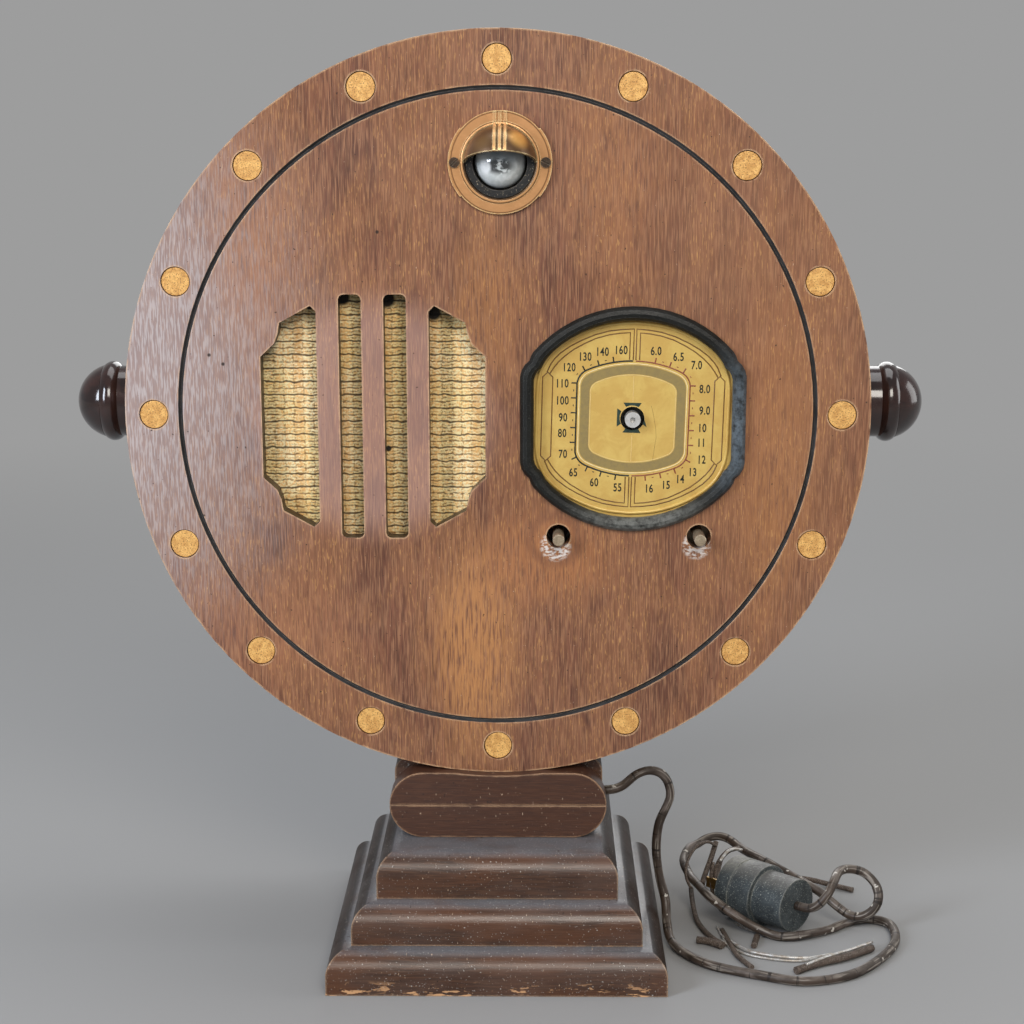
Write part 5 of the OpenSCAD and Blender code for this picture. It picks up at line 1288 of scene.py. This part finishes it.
# Each wire's points and radius in millimetres, and its finish.
WIRES = [
    ([(131.3, 62, 29.9), (125.8, 56, 34.6), (118.6, 48, 34.8), (112.5, 38, 29.4), (110.7, 28, 22.9),
      (113.2, 20, 18.3)], 0.9, FRAYED),
    ([(115.2, 45.0, 9), (115.2, 26.9, 5), (116.7, 6.5, 2.2), (122.0, -14.9, 2), (128.9, -28.6, 2)],
     1.5, FRAYED),
    ([(114.0, -21.6, 2.2), (120.1, -24.1, 2.6), (127.6, -30.6, 2.2)], 2.2, FRAYED),
    ([(184.0, 76.7, 4), (192.4, 74.9, 3.4), (204.0, 68.9, 2.4), (215.9, 61.8, 1.8)], 1.7, FRAYED),
    ([(129.0, -13.8, 1.6), (140.4, -33.5, 1.0), (152.6, -41.8, 1.4), (164.7, -45.1, 1.0),
      (175.9, -45.5, 1.2), (189.0, -40.2, 0.9)], 1.1, STRANDS),
    ([(127.5, -18.5, 1.0), (138.3, -37.5, 0.8), (153.3, -46.2, 0.8), (169.8, -49.2, 0.9),
      (183.0, -42.7, 0.7)], 0.78, STRANDS),
    ([(165.4, -66.7, 1.6), (179.5, -56.1, 2.6), (195.1, -48.2, 3), (212.6, -33.2, 2.4)], 2.3, FRAYED),
    ([(171.3, -62.9, 4.4), (185.1, -51.7, 4.8), (198.9, -41.3, 4.6), (213.6, -27.2, 3.6)],
     0.91, STRANDS),
    ([(129.8, -5.0, 1.8), (132.6, -26.0, 1.6), (135.4, -44.4, 1.8), (141.7, -60.8, 1.4)], 1.5, FRAYED),
    ([(127.6, 2.0, 1.0), (130.6, -22.0, 0.8), (134.0, -38.0, 1.2)], 0.78, STRANDS),
    ([(149.2, -14.4, 1.9), (145.9, -29.4, 1.8)], 1.8, FRAYED),
    ([(145.8, 66, 27.3), (137.9, 60, 26.8), (131.3, 52, 20.6), (129.6, 44, 13.3)], 1.5, FRAYED),
    ([(147.5, 64, 26.7), (142.1, 60, 28.7), (137.5, 56, 28.2), (132.8, 50, 24.5)], 0.98, STRANDS),
    ([(131.6, 66, 31.1), (128.1, 58, 23.6), (124.5, 50, 17.5), (121.6, 42, 12.7)], 1.7, FRAYED),
    ([(134.9, 60, 24.2), (132.0, 52, 16.8), (130.2, 44, 9.4)], 1.3, FRAYED),
    ([(127.1, 33.0, 30), (125.8, 29.2, 20), (127.7, 27.5, 8)], 1.2, FRAYED),
    ([(138.6, 8.3, 0.7), (147.4, -3.3, 0.6), (160.5, -6.3, 0.6), (173.0, -4.1, 0.8)], 0.65, STRANDS),
    ([(215.6, 8, 33.1), (218.8, 0, 23.1), (219.9, -6, 14.9)], 0.9, FRAYED)]


# No wire's middle lies lower than its own radius, and a little more, above the floor.
def torn_wire(k, points, radius, material):
    lifted = [metres(x, y, max(z, radius + 0.15)) for x, y, z in points]
    wire = sweep("frayed_wire_" + str(k), smooth_path(lifted, 6), radius * MM, 8)
    wire.data.materials.append(material)
    return rides_for(wire, "cord_rubber")


loose_wires = [torn_wire(k, *wire) for k, wire in enumerate(WIRES)]
print("frayed wires", len(loose_wires))

# %% [markdown]
# Last, the cord and its inside stretch are fixed to the cabinet, the cord in place of the CAD cord, and
# its free length is printed. The short stretch inside the neck and the drum is a piece of its own,
# because it doesn't lie free.

rides_for(cord_inside, "cord_rubber")
rides_for(mains_cord, "cord_rubber", "power_cord")
tuple(free_path[0])
[tuple(p) for p in free_path]
print("free cord", round(free_length, 3), "m")
